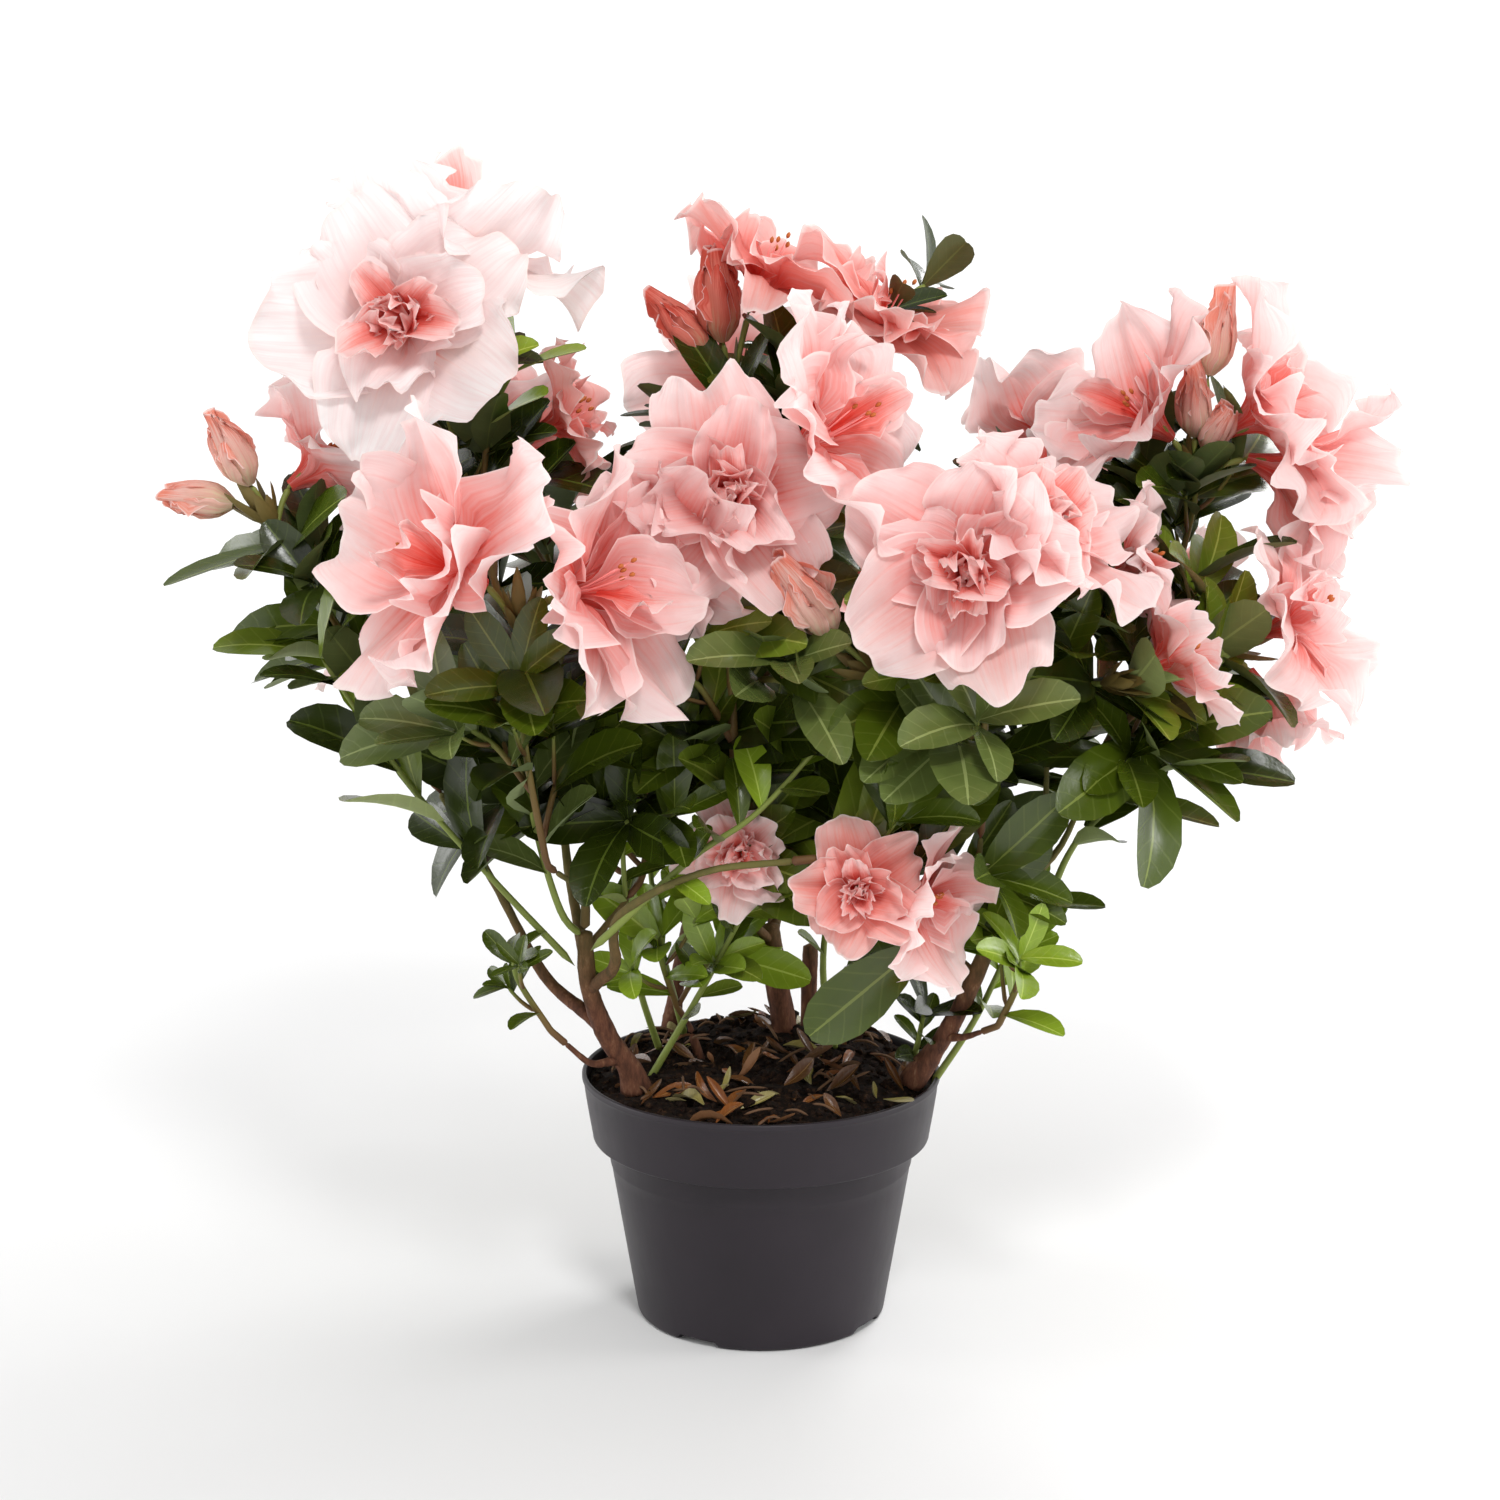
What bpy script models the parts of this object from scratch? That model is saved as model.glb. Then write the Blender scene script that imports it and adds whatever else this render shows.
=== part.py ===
"""A potted azalea in flower: pot, potting soil, woody stems, boughs and masses of leaf and blossom.

The origin is the middle of the pot's flat underside. +Z is up, and the plant's front faces -Y.
Every place in the tables is in millimetres, and a heading is in degrees from the front towards +X.
"""

import math
import random
from collections import namedtuple

import bmesh
import bpy
from mathutils import Vector
from mathutils.bvhtree import BVHTree

MM = 0.001
GAP = 0.3 * MM
WELD = 0.001 * MM
UP = Vector((0, 0, 1))
GOLDEN_ANGLE = math.radians(137.508)

# Pot: a three-quarter height nursery pot with a deep rim band, notched for drainage under its foot
POT_HEIGHT = 98 * MM
RIM_RADIUS = 70 * MM
BAND_FOOT_RADIUS = 66 * MM
BAND_HEIGHT = 25 * MM
BODY_TOP_RADIUS = 60.5 * MM
BODY_FOOT_RADIUS = 49 * MM
FOOT_ROUNDING = 2.2 * MM
WALL = 1.6 * MM
POT_STEPS = 32
NOTCH_WIDTH = 17 * MM
NOTCH_HEIGHT = 2.8 * MM
NOTCH_HEADING = -31
NOTCHES = 4
SOIL_TOP = 95 * MM
SOIL_GAP = 0.4 * MM

# Stems and boughs: an eight-sided limb's flat lies at this share of its radius from its middle
SEATING = 0.96
ROOT_FLARE = 0.4
FLARE_LENGTH = 0.2
STEM_SIDES = 8
BOUGH_SIDES = 6
BOUGH_TAPER = 0.6
CROTCH_ANGLE = math.radians(48)
BOUGH_TO_CARRIER = 0.85
BOUGH_RADIUS = 1.5 * MM
BOUGH_RADIUS_A_BEND = 0.9 * MM

# Twigs: each grows on from its bough or forks off the first one of its mass
TWIG_TIP_RADIUS = 1.1 * MM
TWIG_ONWARD = 8 * MM
FORK_FIRST = 0.2
FORK_STEP = 0.2
FORK_TO_MAIN = 0.75

# Leaves: shares of a leaf's length, and their places and angles on a twig
LEAF_WIDTH = 0.4
LEAF_THICKNESS = 0.014
LEAF_RIB_AT = 0.3
LEAF_WIDEST_AT = 0.6
LEAF_EDGE_RAISE = 0.16
LEAF_TIP_DROOP = 0.06
LEAF_ROOT_SHARE = 0.14
LEAF_CLEARANCE = 0.5 * MM
LEAF_STRAY = 10 * MM
LEAF_TRIES = 8
LEAF_SHRINK = 0.95
LEAVES_FROM = 0.25
LEAVES_OVER = 0.65
LEAF_PITCH = (48, 66)
WHORL_PITCH_BY_BLOOM = 76
WHORL_PITCH = 56
WHORL_PITCH_VARIES = 14
WHORL_BELOW_BLOOM = 7 * MM
WHORL_BELOW_TIP = 1 * MM
WHORL_STEP = 1.3 * MM

# Blooms: places are shares of the bloom's length, along its axis and out from it
STALK_LENGTH = 20 * MM
STALK_LEAN = 0.7
COROLLA_LENGTH = 50 * MM
PETAL_THICKNESS = 0.9 * MM
LOBES = 5
INNER_LOBES = 3
INNER_LENGTH = 0.85
INNER_SPREAD = 0.55
HALF_SPREAD = 0.45
TUBE_BOTTOM = 0.16
THROAT = (0.44, 0.2)
LOBE_NOTCH = (0.62, 0.46)
LOBE_EDGE = (0.84, 0.82)
LOBE_EDGE_TURN = 0.42
BLOOM_DEPTH = 1.5 * MM
BLOOM_SHRINKS = (1, 0.88, 0.76, 0.64, 0.52)
BUD_LENGTH = 30 * MM
BUD_WAIST_AT = 0.45
BUD_HALF_WIDTH = 0.24

# Room that each mass keeps to
SPACE_MARGIN = 0.8 * MM
SEED_SHARES = (0.3, 0.65, 1)
BLOOM_ROOM = 10 * MM
BLOOM_ROOM_AT = 0.6
PULL_BACKS = (1, 0.9, 0.8, 0.7, 0.6, 0.5, 0.4)

Stem = namedtuple("Stem", "points foot_radius tip_radius")
Mass = namedtuple("Mass", "carrier along bends shoots leaf", defaults=(50,))
Shoot = namedtuple("Shoot", "tip leaves whorl blooms", defaults=((),))
Bloom = namedtuple("Bloom", "kind heading rise size")

STEMS = {
    "stem_left": Stem([(-50, -25, 105), (-59, -30, 121), (-65, -36, 142), (-66, -41, 165)], 4.6, 2.9),
    "stem_back_left": Stem([(-35, 44, 110), (-31, 40, 135), (-26, 35, 160), (-22, 30, 180)], 3.4, 2.3),
    "stem_centre": Stem([(9, 22, 110), (6, 20, 130), (3, 18, 152)], 5.4, 4.0),
    "stem_right": Stem([
        (60, -17, 101), (69, -20, 115), (77, -24, 132), (86, -29, 155), (97, -34, 184)], 4.0, 2.6),
    "pruned_stub": Stem([(19, 31, 110), (20, 32, 140)], 3.2, 3.0),
    "stem_young": Stem([(-24, 2, 101), (-27, 0, 112)], 2.2, 1.8),
    "stem_back_right": Stem([(38, 36, 108), (42, 42, 132), (48, 48, 158)], 3.6, 2.6),
}

MASSES = {
    "far_left": Mass("stem_left", 0.42, [(-99, -27, 176), (-121, -23, 214)], [
        Shoot((-182, -12, 313), 6, 6, [
            Bloom("open", 108, 30, 0.8), Bloom("bud", -95, 8, 0.85), Bloom("bud", -50, 62, 0.9)]),
        Shoot((-156, 10, 264), 3, 4),
    ]),
    "left_top": Mass("stem_left", 0.78, [(-80, 0, 215), (-97, 12, 270)], [
        Shoot((-122, 0, 371), 4, 6, [Bloom("double", -8, 16, 1.12), Bloom("open", 115, 66, 1.05)]),
        Shoot((-96, 22, 336), 1, 4, [Bloom("open", 95, 20, 0.7)]),
        Shoot((-92, 5, 372), 1, 4),
    ]),
    "left_front": Mass("stem_left", 1.0, [(-75, -64, 193)], [
        Shoot((-84, -96, 287), 4, 6, [Bloom("open", -48, 26, 1.12), Bloom("open", 55, 12, 1.05)]),
        Shoot((-66, -50, 240), 2, 4, [Bloom("bud", 20, 70, 0.8)]),
        Shoot((-104, -82, 250), 2, 4),
    ]),
    "centre_front": Mass("stem_centre", 1.0, [(-4, -15, 185), (-9, -45, 222)], [
        Shoot((-12, -56, 316), 4, 6, [
            Bloom("double", 0, 14, 1.0), Bloom("open", 62, 38, 1.05), Bloom("open", -45, -22, 0.8)]),
        Shoot((-34, -62, 270), 2, 5),
        Shoot((16, -72, 262), 2, 4),
    ]),
    "top_centre": Mass("stem_centre", 0.86, [(4, 34, 200), (-2, 34, 275)], [
        Shoot((-12, 30, 357), 4, 6, [
            Bloom("open", 75, 60, 1.0), Bloom("bud", -10, 76, 1.1), Bloom("bud", -84, 48, 0.95)]),
        Shoot((26, 36, 356), 2, 5, [Bloom("open", 62, 42, 0.88)]),
        Shoot((66, 56, 400), 2, 4),
    ]),
    "right_front": Mass("stem_right", 0.74, [(80, -58, 205)], [
        Shoot((79, -76, 296), 4, 6, [
            Bloom("double", -16, 8, 1.12), Bloom("double", 55, 44, 0.95), Bloom("bud", 10, 76, 0.6)]),
        Shoot((41, -72, 266), 2, 5, [Bloom("bud", -50, 50, 1.25)]),
        Shoot((66, -84, 246), 2, 4),
    ]),
    "right_mid": Mass("stem_right", 1.0, [(106, -38, 236)], [
        Shoot((114, -36, 290), 4, 6, [Bloom("open", 75, 12, 0.7)]),
        Shoot((124, -60, 262), 2, 4, [Bloom("open", -10, 0, 0.6)]),
    ]),
    "right_top": Mass("stem_right", 0.85, [(134, 0, 232), (156, 14, 282)], [
        Shoot((166, 20, 327), 4, 6, [
            Bloom("open", -72, 34, 0.95), Bloom("open", 72, 34, 1.05), Bloom("half", 80, -18, 1.05),
            Bloom("bud", 0, 74, 1.0)]),
        Shoot((138, 26, 316), 2, 5),
    ]),
    "right_low": Mass("stem_right", 0.93, [(126, -26, 226)], [
        Shoot((172, -14, 266), 5, 6, [Bloom("open", 66, 22, 0.88), Bloom("half", 78, -66, 0.7)]),
        Shoot((142, -42, 234), 2, 5),
        Shoot((158, -4, 288), 2, 5),
    ]),
    "low_front": Mass("stem_left", 0.66, [(-52, -62, 176), (-22, -78, 196), (12, -84, 202)], [
        Shoot((37, -74, 196), 2, 6, [Bloom("double", -4, 12, 0.55), Bloom("open", 58, -12, 0.68)]),
        Shoot((60, -62, 164), 1, 4),
    ]),
    "low_centre": Mass("stem_centre", 0.86, [(-12, -14, 176)], [
        Shoot((-16, -38, 240), 5, 6),
        Shoot((-6, -40, 196), 1, 4, [Bloom("double", 4, 14, 0.55)]),
        Shoot((20, -30, 226), 3, 5),
    ]),
    "low_left": Mass("stem_left", 0.88, [(-50, -26, 174)], [
        Shoot((-44, -18, 240), 5, 6),
        Shoot((-80, -22, 204), 2, 4),
        Shoot((-50, -52, 208), 2, 4),
        Shoot((-98, -36, 212), 3, 5),
    ], 42),
    "low_right": Mass("stem_right", 0.55, [(62, -26, 162)], [
        Shoot((52, -34, 236), 5, 6),
        Shoot((84, -60, 190), 2, 4),
    ]),
    "right_shoots": Mass("stem_right", 0.25, [(84, -36, 124)], [
        Shoot((93, -40, 160), 4, 5),
    ], 32),
    "left_shoots": Mass("stem_left", 0.2, [(-74, -44, 122)], [
        Shoot((-92, -50, 158), 4, 5),
    ], 30),
    "young_shoots": Mass("stem_young", 1.0, [(-30, -4, 120)], [
        Shoot((-38, -22, 158), 3, 5),
        Shoot((-12, -8, 148), 2, 4),
    ], 32),
    "back_left": Mass("stem_back_left", 0.95, [(-58, 62, 214), (-76, 84, 252)], [
        Shoot((-92, 104, 306), 4, 6, [Bloom("double", -150, 36, 1.0)]),
        Shoot((-126, 70, 270), 3, 5, [Bloom("open", -110, 20, 0.85)]),
    ]),
    "back_centre": Mass("stem_back_left", 1.0, [(-18, 62, 216), (-14, 84, 258)], [
        Shoot((-10, 104, 322), 4, 6, [Bloom("open", 170, 40, 1.05)]),
        Shoot((26, 120, 280), 3, 5, [Bloom("open", 165, 0, 0.8)]),
    ]),
    "back_right": Mass("stem_back_right", 1.0, [(72, 64, 206), (90, 80, 248)], [
        Shoot((106, 96, 306), 4, 6, [Bloom("double", 145, 36, 1.0)]),
        Shoot((140, 64, 268), 3, 5, [Bloom("open", 110, 6, 0.85)]),
    ]),
    "low_back": Mass("stem_back_right", 0.8, [(30, 62, 172)], [
        Shoot((20, 84, 222), 4, 6),
        Shoot((-16, 80, 196), 3, 4),
    ]),
    "low_back_left": Mass("stem_back_left", 0.6, [(-56, 50, 164)], [
        Shoot((-88, 48, 222), 5, 6),
    ]),
    "low_back_right": Mass("stem_back_right", 0.6, [(72, 44, 164)], [
        Shoot((104, 40, 218), 5, 6),
    ]),
}


def place(point):
    return Vector(point) * MM


def clear_scene():
    for item in list(bpy.data.objects):
        bpy.data.objects.remove(item)


def material(name, colour, roughness):
    """A plain Principled material, whose colour is given in linear values."""
    made = bpy.data.materials.new(name)
    made.use_nodes = True
    shader = made.node_tree.nodes["Principled BSDF"]
    shader.inputs["Base Color"].default_value = (*colour, 1)
    shader.inputs["Roughness"].default_value = roughness
    shader.inputs["Metallic"].default_value = 0
    made.diffuse_color = (*colour, 1)
    return made


def mesh_object(name, mesh, surface):
    item = bpy.data.objects.new(name, mesh)
    mesh.materials.append(surface)
    bpy.context.scene.collection.objects.link(item)
    return item


def heading_vector(heading, rise):
    """A direction from its heading round the plant and its rise above the level, in degrees."""
    turn, lift = math.radians(heading), math.radians(rise)
    return Vector((math.sin(turn) * math.cos(lift), -math.cos(turn) * math.cos(lift), math.sin(lift)))


def across(direction, up=UP):
    """Two unit vectors square to a direction: one level, and one that leans as far up as it can."""
    nearly_upright = 0.98
    if abs(direction.normalized().dot(up)) > nearly_upright:
        up = Vector((0.6, -0.8, 0))
    side = up.cross(direction).normalized()
    return side, direction.cross(side).normalized()


def smooth_path(points, steps):
    """Points along the curve that runs smoothly through the given ones."""
    ends = [2 * points[0] - points[1], *points, 2 * points[-1] - points[-2]]
    path = []
    for before, start, stop, after in zip(ends, ends[1:], ends[2:], ends[3:]):
        for step in range(steps):
            t = step / steps
            path.append(0.5 * (
                2 * start
                + (stop - before) * t
                + (2 * before - 5 * start + 4 * stop - after) * t**2
                + (3 * start - before - 3 * stop + after) * t**3))
    return [*path, points[-1]]


def path_length(path):
    return sum((b - a).length for a, b in zip(path, path[1:]))


def tapered(root_radius, tip_radius, count):
    """Radii for the points of a path, from its root to its tip."""
    return [root_radius + (tip_radius - root_radius) * i / (count - 1) for i in range(count)]


def along_path(path, share):
    """The point and the direction at a share of a path's length."""
    lengths = [(b - a).length for a, b in zip(path, path[1:])]
    left = share * sum(lengths)
    for start, stop, length in zip(path, path[1:], lengths):
        if left <= length or stop is path[-1]:
            return start.lerp(stop, min(left / length, 1)), (stop - start).normalized()
        left -= length


def turned(name, profile, surface):
    """A solid of revolution about Z from its half profile, which starts and ends on the axis."""
    shape = bmesh.new()
    points = [shape.verts.new((radius, 0, height)) for radius, height in profile]
    edges = [shape.edges.new(pair) for pair in zip(points, points[1:])]
    bmesh.ops.spin(shape, geom=[*points, *edges], axis=(0, 0, 1), cent=(0, 0, 0),
                   angle=2 * math.pi, steps=POT_STEPS, use_merge=True)
    bmesh.ops.remove_doubles(shape, verts=shape.verts, dist=0.01 * MM)
    bmesh.ops.recalc_face_normals(shape, faces=shape.faces)
    mesh = bpy.data.meshes.new(name)
    shape.to_mesh(mesh)
    shape.free()
    mesh.shade_smooth()
    mesh.set_sharp_from_angle(angle=math.radians(30))
    return mesh_object(name, mesh, surface)


def inner_wall():
    """The pot's inside from its floor to its lip, as radius and height."""
    band_foot = POT_HEIGHT - BAND_HEIGHT
    return [
        (BODY_FOOT_RADIUS - WALL - FOOT_ROUNDING, WALL),
        (BODY_FOOT_RADIUS - WALL, WALL + FOOT_ROUNDING),
        (BODY_TOP_RADIUS - WALL, band_foot),
        (BAND_FOOT_RADIUS - WALL, band_foot + WALL),
        (RIM_RADIUS - WALL, POT_HEIGHT),
    ]


def add_pot(surface):
    band_foot = POT_HEIGHT - BAND_HEIGHT
    outside = [
        (0, 0),
        (BODY_FOOT_RADIUS - FOOT_ROUNDING, 0),
        (BODY_FOOT_RADIUS, FOOT_ROUNDING),
        (BODY_TOP_RADIUS, band_foot - WALL),
        (BAND_FOOT_RADIUS, band_foot - WALL),
        (RIM_RADIUS, POT_HEIGHT),
    ]
    pot = turned("pot", [*outside, *reversed(inner_wall()), (0, WALL)], surface)
    for index in range(NOTCHES):
        bpy.ops.mesh.primitive_cube_add(size=1)
        cutter = bpy.context.object
        cutter.name = f"notch_cutter_{index + 1}"
        turn = math.radians(NOTCH_HEADING + index * 360 / NOTCHES - 90)
        cutter.scale = (4 * WALL + 2 * FOOT_ROUNDING, NOTCH_WIDTH, 2 * NOTCH_HEIGHT)
        cutter.rotation_euler.z = turn
        cutter.location = (BODY_FOOT_RADIUS * math.cos(turn), BODY_FOOT_RADIUS * math.sin(turn), 0)
        cutter.hide_render = True
        cutter.display_type = "WIRE"
        notch = pot.modifiers.new(cutter.name, "BOOLEAN")
        notch.operation = "DIFFERENCE"
        notch.object = cutter


def add_soil(surface):
    """Soil fills the pot to just under its lip, and its level top stands for the ground."""
    wall = [(radius - SOIL_GAP, height + SOIL_GAP) for radius, height in inner_wall()]
    (foot_radius, foot), (lip_radius, lip) = wall[-2:]
    edge = foot_radius + (lip_radius - foot_radius) * (SOIL_TOP - foot) / (lip - foot) - SOIL_GAP
    turned("soil", [(0, wall[0][1]), *wall[:-1], (edge, SOIL_TOP), (0, SOIL_TOP)], surface)


def add_limb(name, path, radii, sides, surface):
    """A tapering round limb along a path, flat at both ends."""
    curve = bpy.data.curves.new(name, "CURVE")
    curve.dimensions = "3D"
    curve.bevel_depth = 1
    curve.bevel_resolution = (sides - 4) // 2
    curve.use_fill_caps = True
    spline = curve.splines.new("POLY")
    spline.points.add(len(path) - 1)
    for point, place_on, radius in zip(spline.points, path, radii):
        point.co = (*place_on, 1)
        point.radius = radius
    return mesh_object(name, curve, surface)


def stem_radius(stem, share):
    return (stem.foot_radius + (stem.tip_radius - stem.foot_radius) * share) * MM


def stem_path(stem):
    """A stem's line and radii from its flat cut on the soil, with a flare at the root."""
    first = place(stem.points[0])
    ground = Vector((first.x, first.y, SOIL_TOP + GAP))
    ground.xy -= (place(stem.points[1]) - first).xy * 0.25
    start = ground + 1.5 * MM * UP
    path = [ground, *smooth_path([start, *map(place, stem.points)], 2)]
    radii = []
    for index in range(len(path)):
        share = path_length(path[:index + 1]) / path_length(path)
        flare = 1 + ROOT_FLARE * max(0, 1 - share / FLARE_LENGTH)
        radii.append(stem_radius(stem, share) * flare)
    return path, radii


def steered(leaving, direction):
    """The way a bough leaves its stem, never at less than the crotch's least angle."""
    leaving = leaving.normalized()
    if leaving.dot(direction) < math.cos(CROTCH_ANGLE):
        return leaving
    aside = (leaving - leaving.dot(direction) * direction).normalized()
    return math.cos(CROTCH_ANGLE) * direction + math.sin(CROTCH_ANGLE) * aside


def bough_path(mass, stems):
    """A bough's line and radii. It starts just clear of the stem that carries it."""
    root, direction = along_path(stems[mass.carrier][0], mass.along)
    carrier_radius = stem_radius(STEMS[mass.carrier], mass.along)
    leaving = steered(place(mass.bends[0]) - root, direction)
    root_radius = min(BOUGH_TO_CARRIER * carrier_radius,
                      BOUGH_RADIUS + BOUGH_RADIUS_A_BEND * len(mass.bends))
    if mass.along == 1:
        leaving = direction
        clear = GAP
    else:
        cosine = abs(leaving.dot(direction))
        clear = (SEATING * (carrier_radius + root_radius * cosine) + GAP) / math.sqrt(1 - cosine**2)
    start = root + leaving * clear
    onward = start + leaving * 0.4 * (place(mass.bends[0]) - start).length
    path = [start, *smooth_path([onward, *map(place, mass.bends)], 2)]
    return path, tapered(root_radius, BOUGH_TAPER * root_radius, len(path))


def tube(path, radii, sides=3):
    """The points and faces of a closed tapering tube."""
    points, faces = [], []
    for index, centre in enumerate(path):
        ahead = path[min(index + 1, len(path) - 1)] - path[max(index - 1, 0)]
        side, lean = across(ahead.normalized(), Vector((0.36, 0.48, 0.8)))
        for corner in range(sides):
            turn = 2 * math.pi * corner / sides
            points.append(centre + radii[index] * (math.cos(turn) * side + math.sin(turn) * lean))
    for ring in range(len(path) - 1):
        for corner in range(sides):
            a, b = ring * sides + corner, ring * sides + (corner + 1) % sides
            faces.append((a, b, b + sides, a + sides))
    faces.append(tuple(reversed(range(sides))))
    faces.append(tuple(range(len(points) - sides, len(points))))
    return points, faces


def leaf(base, direction, facing, length):
    """A blade of eight faces: a rib thickest near the root, and raised edges widest past the middle."""
    side = direction.cross(facing).normalized()
    up = side.cross(direction).normalized()
    half = LEAF_WIDTH * length / 2
    rib = base + LEAF_RIB_AT * length * direction
    middle = base + LEAF_WIDEST_AT * length * direction + LEAF_EDGE_RAISE * half * up
    thick = up * LEAF_THICKNESS * length / 2
    tip = base + length * direction - LEAF_TIP_DROOP * length * up
    points = [base, middle + half * side, tip, middle - half * side, rib + thick, rib - thick]
    faces = [(4, i, (i + 1) % 4) for i in range(4)] + [(5, (i + 1) % 4, i) for i in range(4)]
    return points, faces


def corolla(root, base, axis, length, spread, lobes, dice, keep_in):
    """A trumpet of joined petals: two sheets, from its root to a ring of lobes whose edge they share."""
    side, lean = across(axis)
    start = dice.uniform(0, 2 * math.pi)

    def at(turn, spot, bend=0, stretch=1):
        ray = math.cos(turn) * side + math.sin(turn) * lean
        along, out = spot
        return base + length * ((along + bend) * axis + out * spread * stretch * ray)

    points = [base + TUBE_BOTTOM * length * axis, root]
    rim = []
    for lobe in range(lobes):
        middle = start + 2 * math.pi * lobe / lobes
        half = math.pi / lobes
        stretch = dice.uniform(0.92, 1.1)
        bend = dice.uniform(-0.12, 0.12)
        throat = at(middle, THROAT)
        ray = (throat - base - THROAT[0] * length * axis).normalized()
        points += [throat - ray * PETAL_THICKNESS / 2, throat + ray * PETAL_THICKNESS / 2]
        rim.append(at(middle - half, LOBE_NOTCH))
        rim.append(at(middle - LOBE_EDGE_TURN * half, LOBE_EDGE, bend, stretch))
        rim.append(at(middle + LOBE_EDGE_TURN * half, LOBE_EDGE, -bend, stretch))
    first_rim = len(points)
    points += [keep_in(base, point) for point in rim]
    faces = []
    for lobe in range(lobes):
        following = (lobe + 1) % lobes
        edge = [first_rim + (3 * lobe + i) % len(rim) for i in range(4)]
        for sheet in (0, 1):
            throat, beside = 2 + 2 * lobe + sheet, 2 + 2 * following + sheet
            fan = [(throat, a, b) for a, b in zip(edge, edge[1:])]
            fan += [(throat, edge[3], beside), (sheet, throat, beside)]
            faces += fan if sheet == 0 else [tuple(reversed(face)) for face in fan]
    return points, faces


def bud(root, base, axis, length):
    """A closed bud on its stalk: a four-sided spindle, fullest below its middle."""
    side, lean = across(axis)
    middle = base + BUD_WAIST_AT * length * axis
    waist = [middle + BUD_HALF_WIDTH * length * ray for ray in (side, lean, -side, -lean)]
    points = [root, base + length * axis, *waist]
    faces = []
    for corner in range(4):
        a, b = 2 + corner, 2 + (corner + 1) % 4
        faces += [(0, b, a), (1, a, b)]
    return points, faces


class Space:
    """The room that each mass keeps to: the points nearer to its own shoots than to any other's."""

    def __init__(self):
        self.seeds = []

    def add(self, mass, point, share):
        self.seeds.append((mass, point, share))

    def room(self, mass, point):
        """How far the point lies on the mass's own side, below zero when it is in another's space."""
        own = min((point - seed).length - share for name, seed, share in self.seeds if name == mass)
        other = min((point - seed).length - share for name, seed, share in self.seeds if name != mass)
        return (other - own) / 2


class Taken:
    """All the shapes grown so far, searched for any that a new one would cut."""

    def __init__(self, limbs):
        self.trees = [(None, limbs)]

    def add(self, owner, shape):
        self.trees.append((owner, BVHTree.FromPolygons(*shape)))

    def hit(self, shape, but=""):
        tree = BVHTree.FromPolygons(*shape)
        return any(tree.overlap(other) for owner, other in self.trees if owner != but)


def bloom_base(tip, direction, bloom):
    """Where a bloom's tube starts, at the end of its short stalk."""
    axis = heading_vector(bloom.heading, bloom.rise)
    return tip + STALK_LENGTH * bloom.size * (STALK_LEAN * direction + axis).normalized()


def shoot_paths(mass, bough):
    """The mass's twigs: the first grows on from the bough, and the others fork from it."""
    ahead = (bough[-1] - bough[-2]).normalized()
    start = bough[-1] + ahead * GAP
    onward = start + ahead * TWIG_ONWARD
    tip = place(mass.shoots[0].tip)
    middle = onward.lerp(tip, 0.5) + (onward - start)
    main = [start, *smooth_path([onward, middle, tip], 2)]
    paths = [main]
    for number, shoot in enumerate(mass.shoots[1:]):
        fork, direction = along_path(main, FORK_FIRST + FORK_STEP * number)
        tip = place(shoot.tip)
        bend = fork.lerp(tip, 0.5) + direction * 0.15 * (tip - fork).length
        paths.append(smooth_path([fork, bend, tip], 1))
    return paths


def leaf_directions(shoot, path, length, dice):
    """Root, twig direction, turn, pitch and length of each leaf: spaced along a shoot, then a whorl."""
    turn = dice.uniform(0, 2 * math.pi)
    for number in range(shoot.leaves):
        share = LEAVES_FROM + LEAVES_OVER * (number + 0.5) / shoot.leaves
        point, direction = along_path(path, share)
        turn += GOLDEN_ANGLE
        pitch = math.radians(dice.uniform(*LEAF_PITCH))
        yield point, direction, turn, pitch, length * dice.uniform(0.8, 1.1)
    open_angle, below = WHORL_PITCH, WHORL_BELOW_TIP
    if shoot.blooms:
        open_angle, below = WHORL_PITCH_BY_BLOOM, WHORL_BELOW_BLOOM
    for number in range(shoot.whorl):
        point, direction = along_path(path, 1 - (below + number * WHORL_STEP) / path_length(path))
        turn += 2 * math.pi / shoot.whorl
        pitch = math.radians(open_angle + dice.uniform(-WHORL_PITCH_VARIES, WHORL_PITCH_VARIES))
        yield point, direction, turn, pitch, length * dice.uniform(0.8, 1.2)


def share_space(twigs):
    """The room of every mass, marked along its twigs and at the mouths of its blooms."""
    space = Space()
    for name, mass in MASSES.items():
        for shoot, path in zip(mass.shoots, twigs[name]):
            for share in SEED_SHARES:
                space.add(name, along_path(path, share)[0], 0)
            direction = (path[-1] - path[-2]).normalized()
            for bloom in shoot.blooms:
                axis = heading_vector(bloom.heading, bloom.rise)
                base = bloom_base(path[-1], direction, bloom)
                mouth = base + BLOOM_ROOM_AT * COROLLA_LENGTH * bloom.size * axis
                space.add(name, mouth, 0 if bloom.kind == "bud" else BLOOM_ROOM)
    return space


def grow_twigs(name, mass, paths, root_radius, taken):
    """The twigs of one mass as closed shapes, each with what it is made of."""
    pieces = []
    for number, path in enumerate(paths):
        radius = root_radius if number == 0 else max(FORK_TO_MAIN * root_radius, TWIG_TIP_RADIUS)
        pieces.append(("wood", tube(path, tapered(radius, TWIG_TIP_RADIUS, len(path)))))
        taken.add(name, pieces[-1][1])
    return pieces


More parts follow.
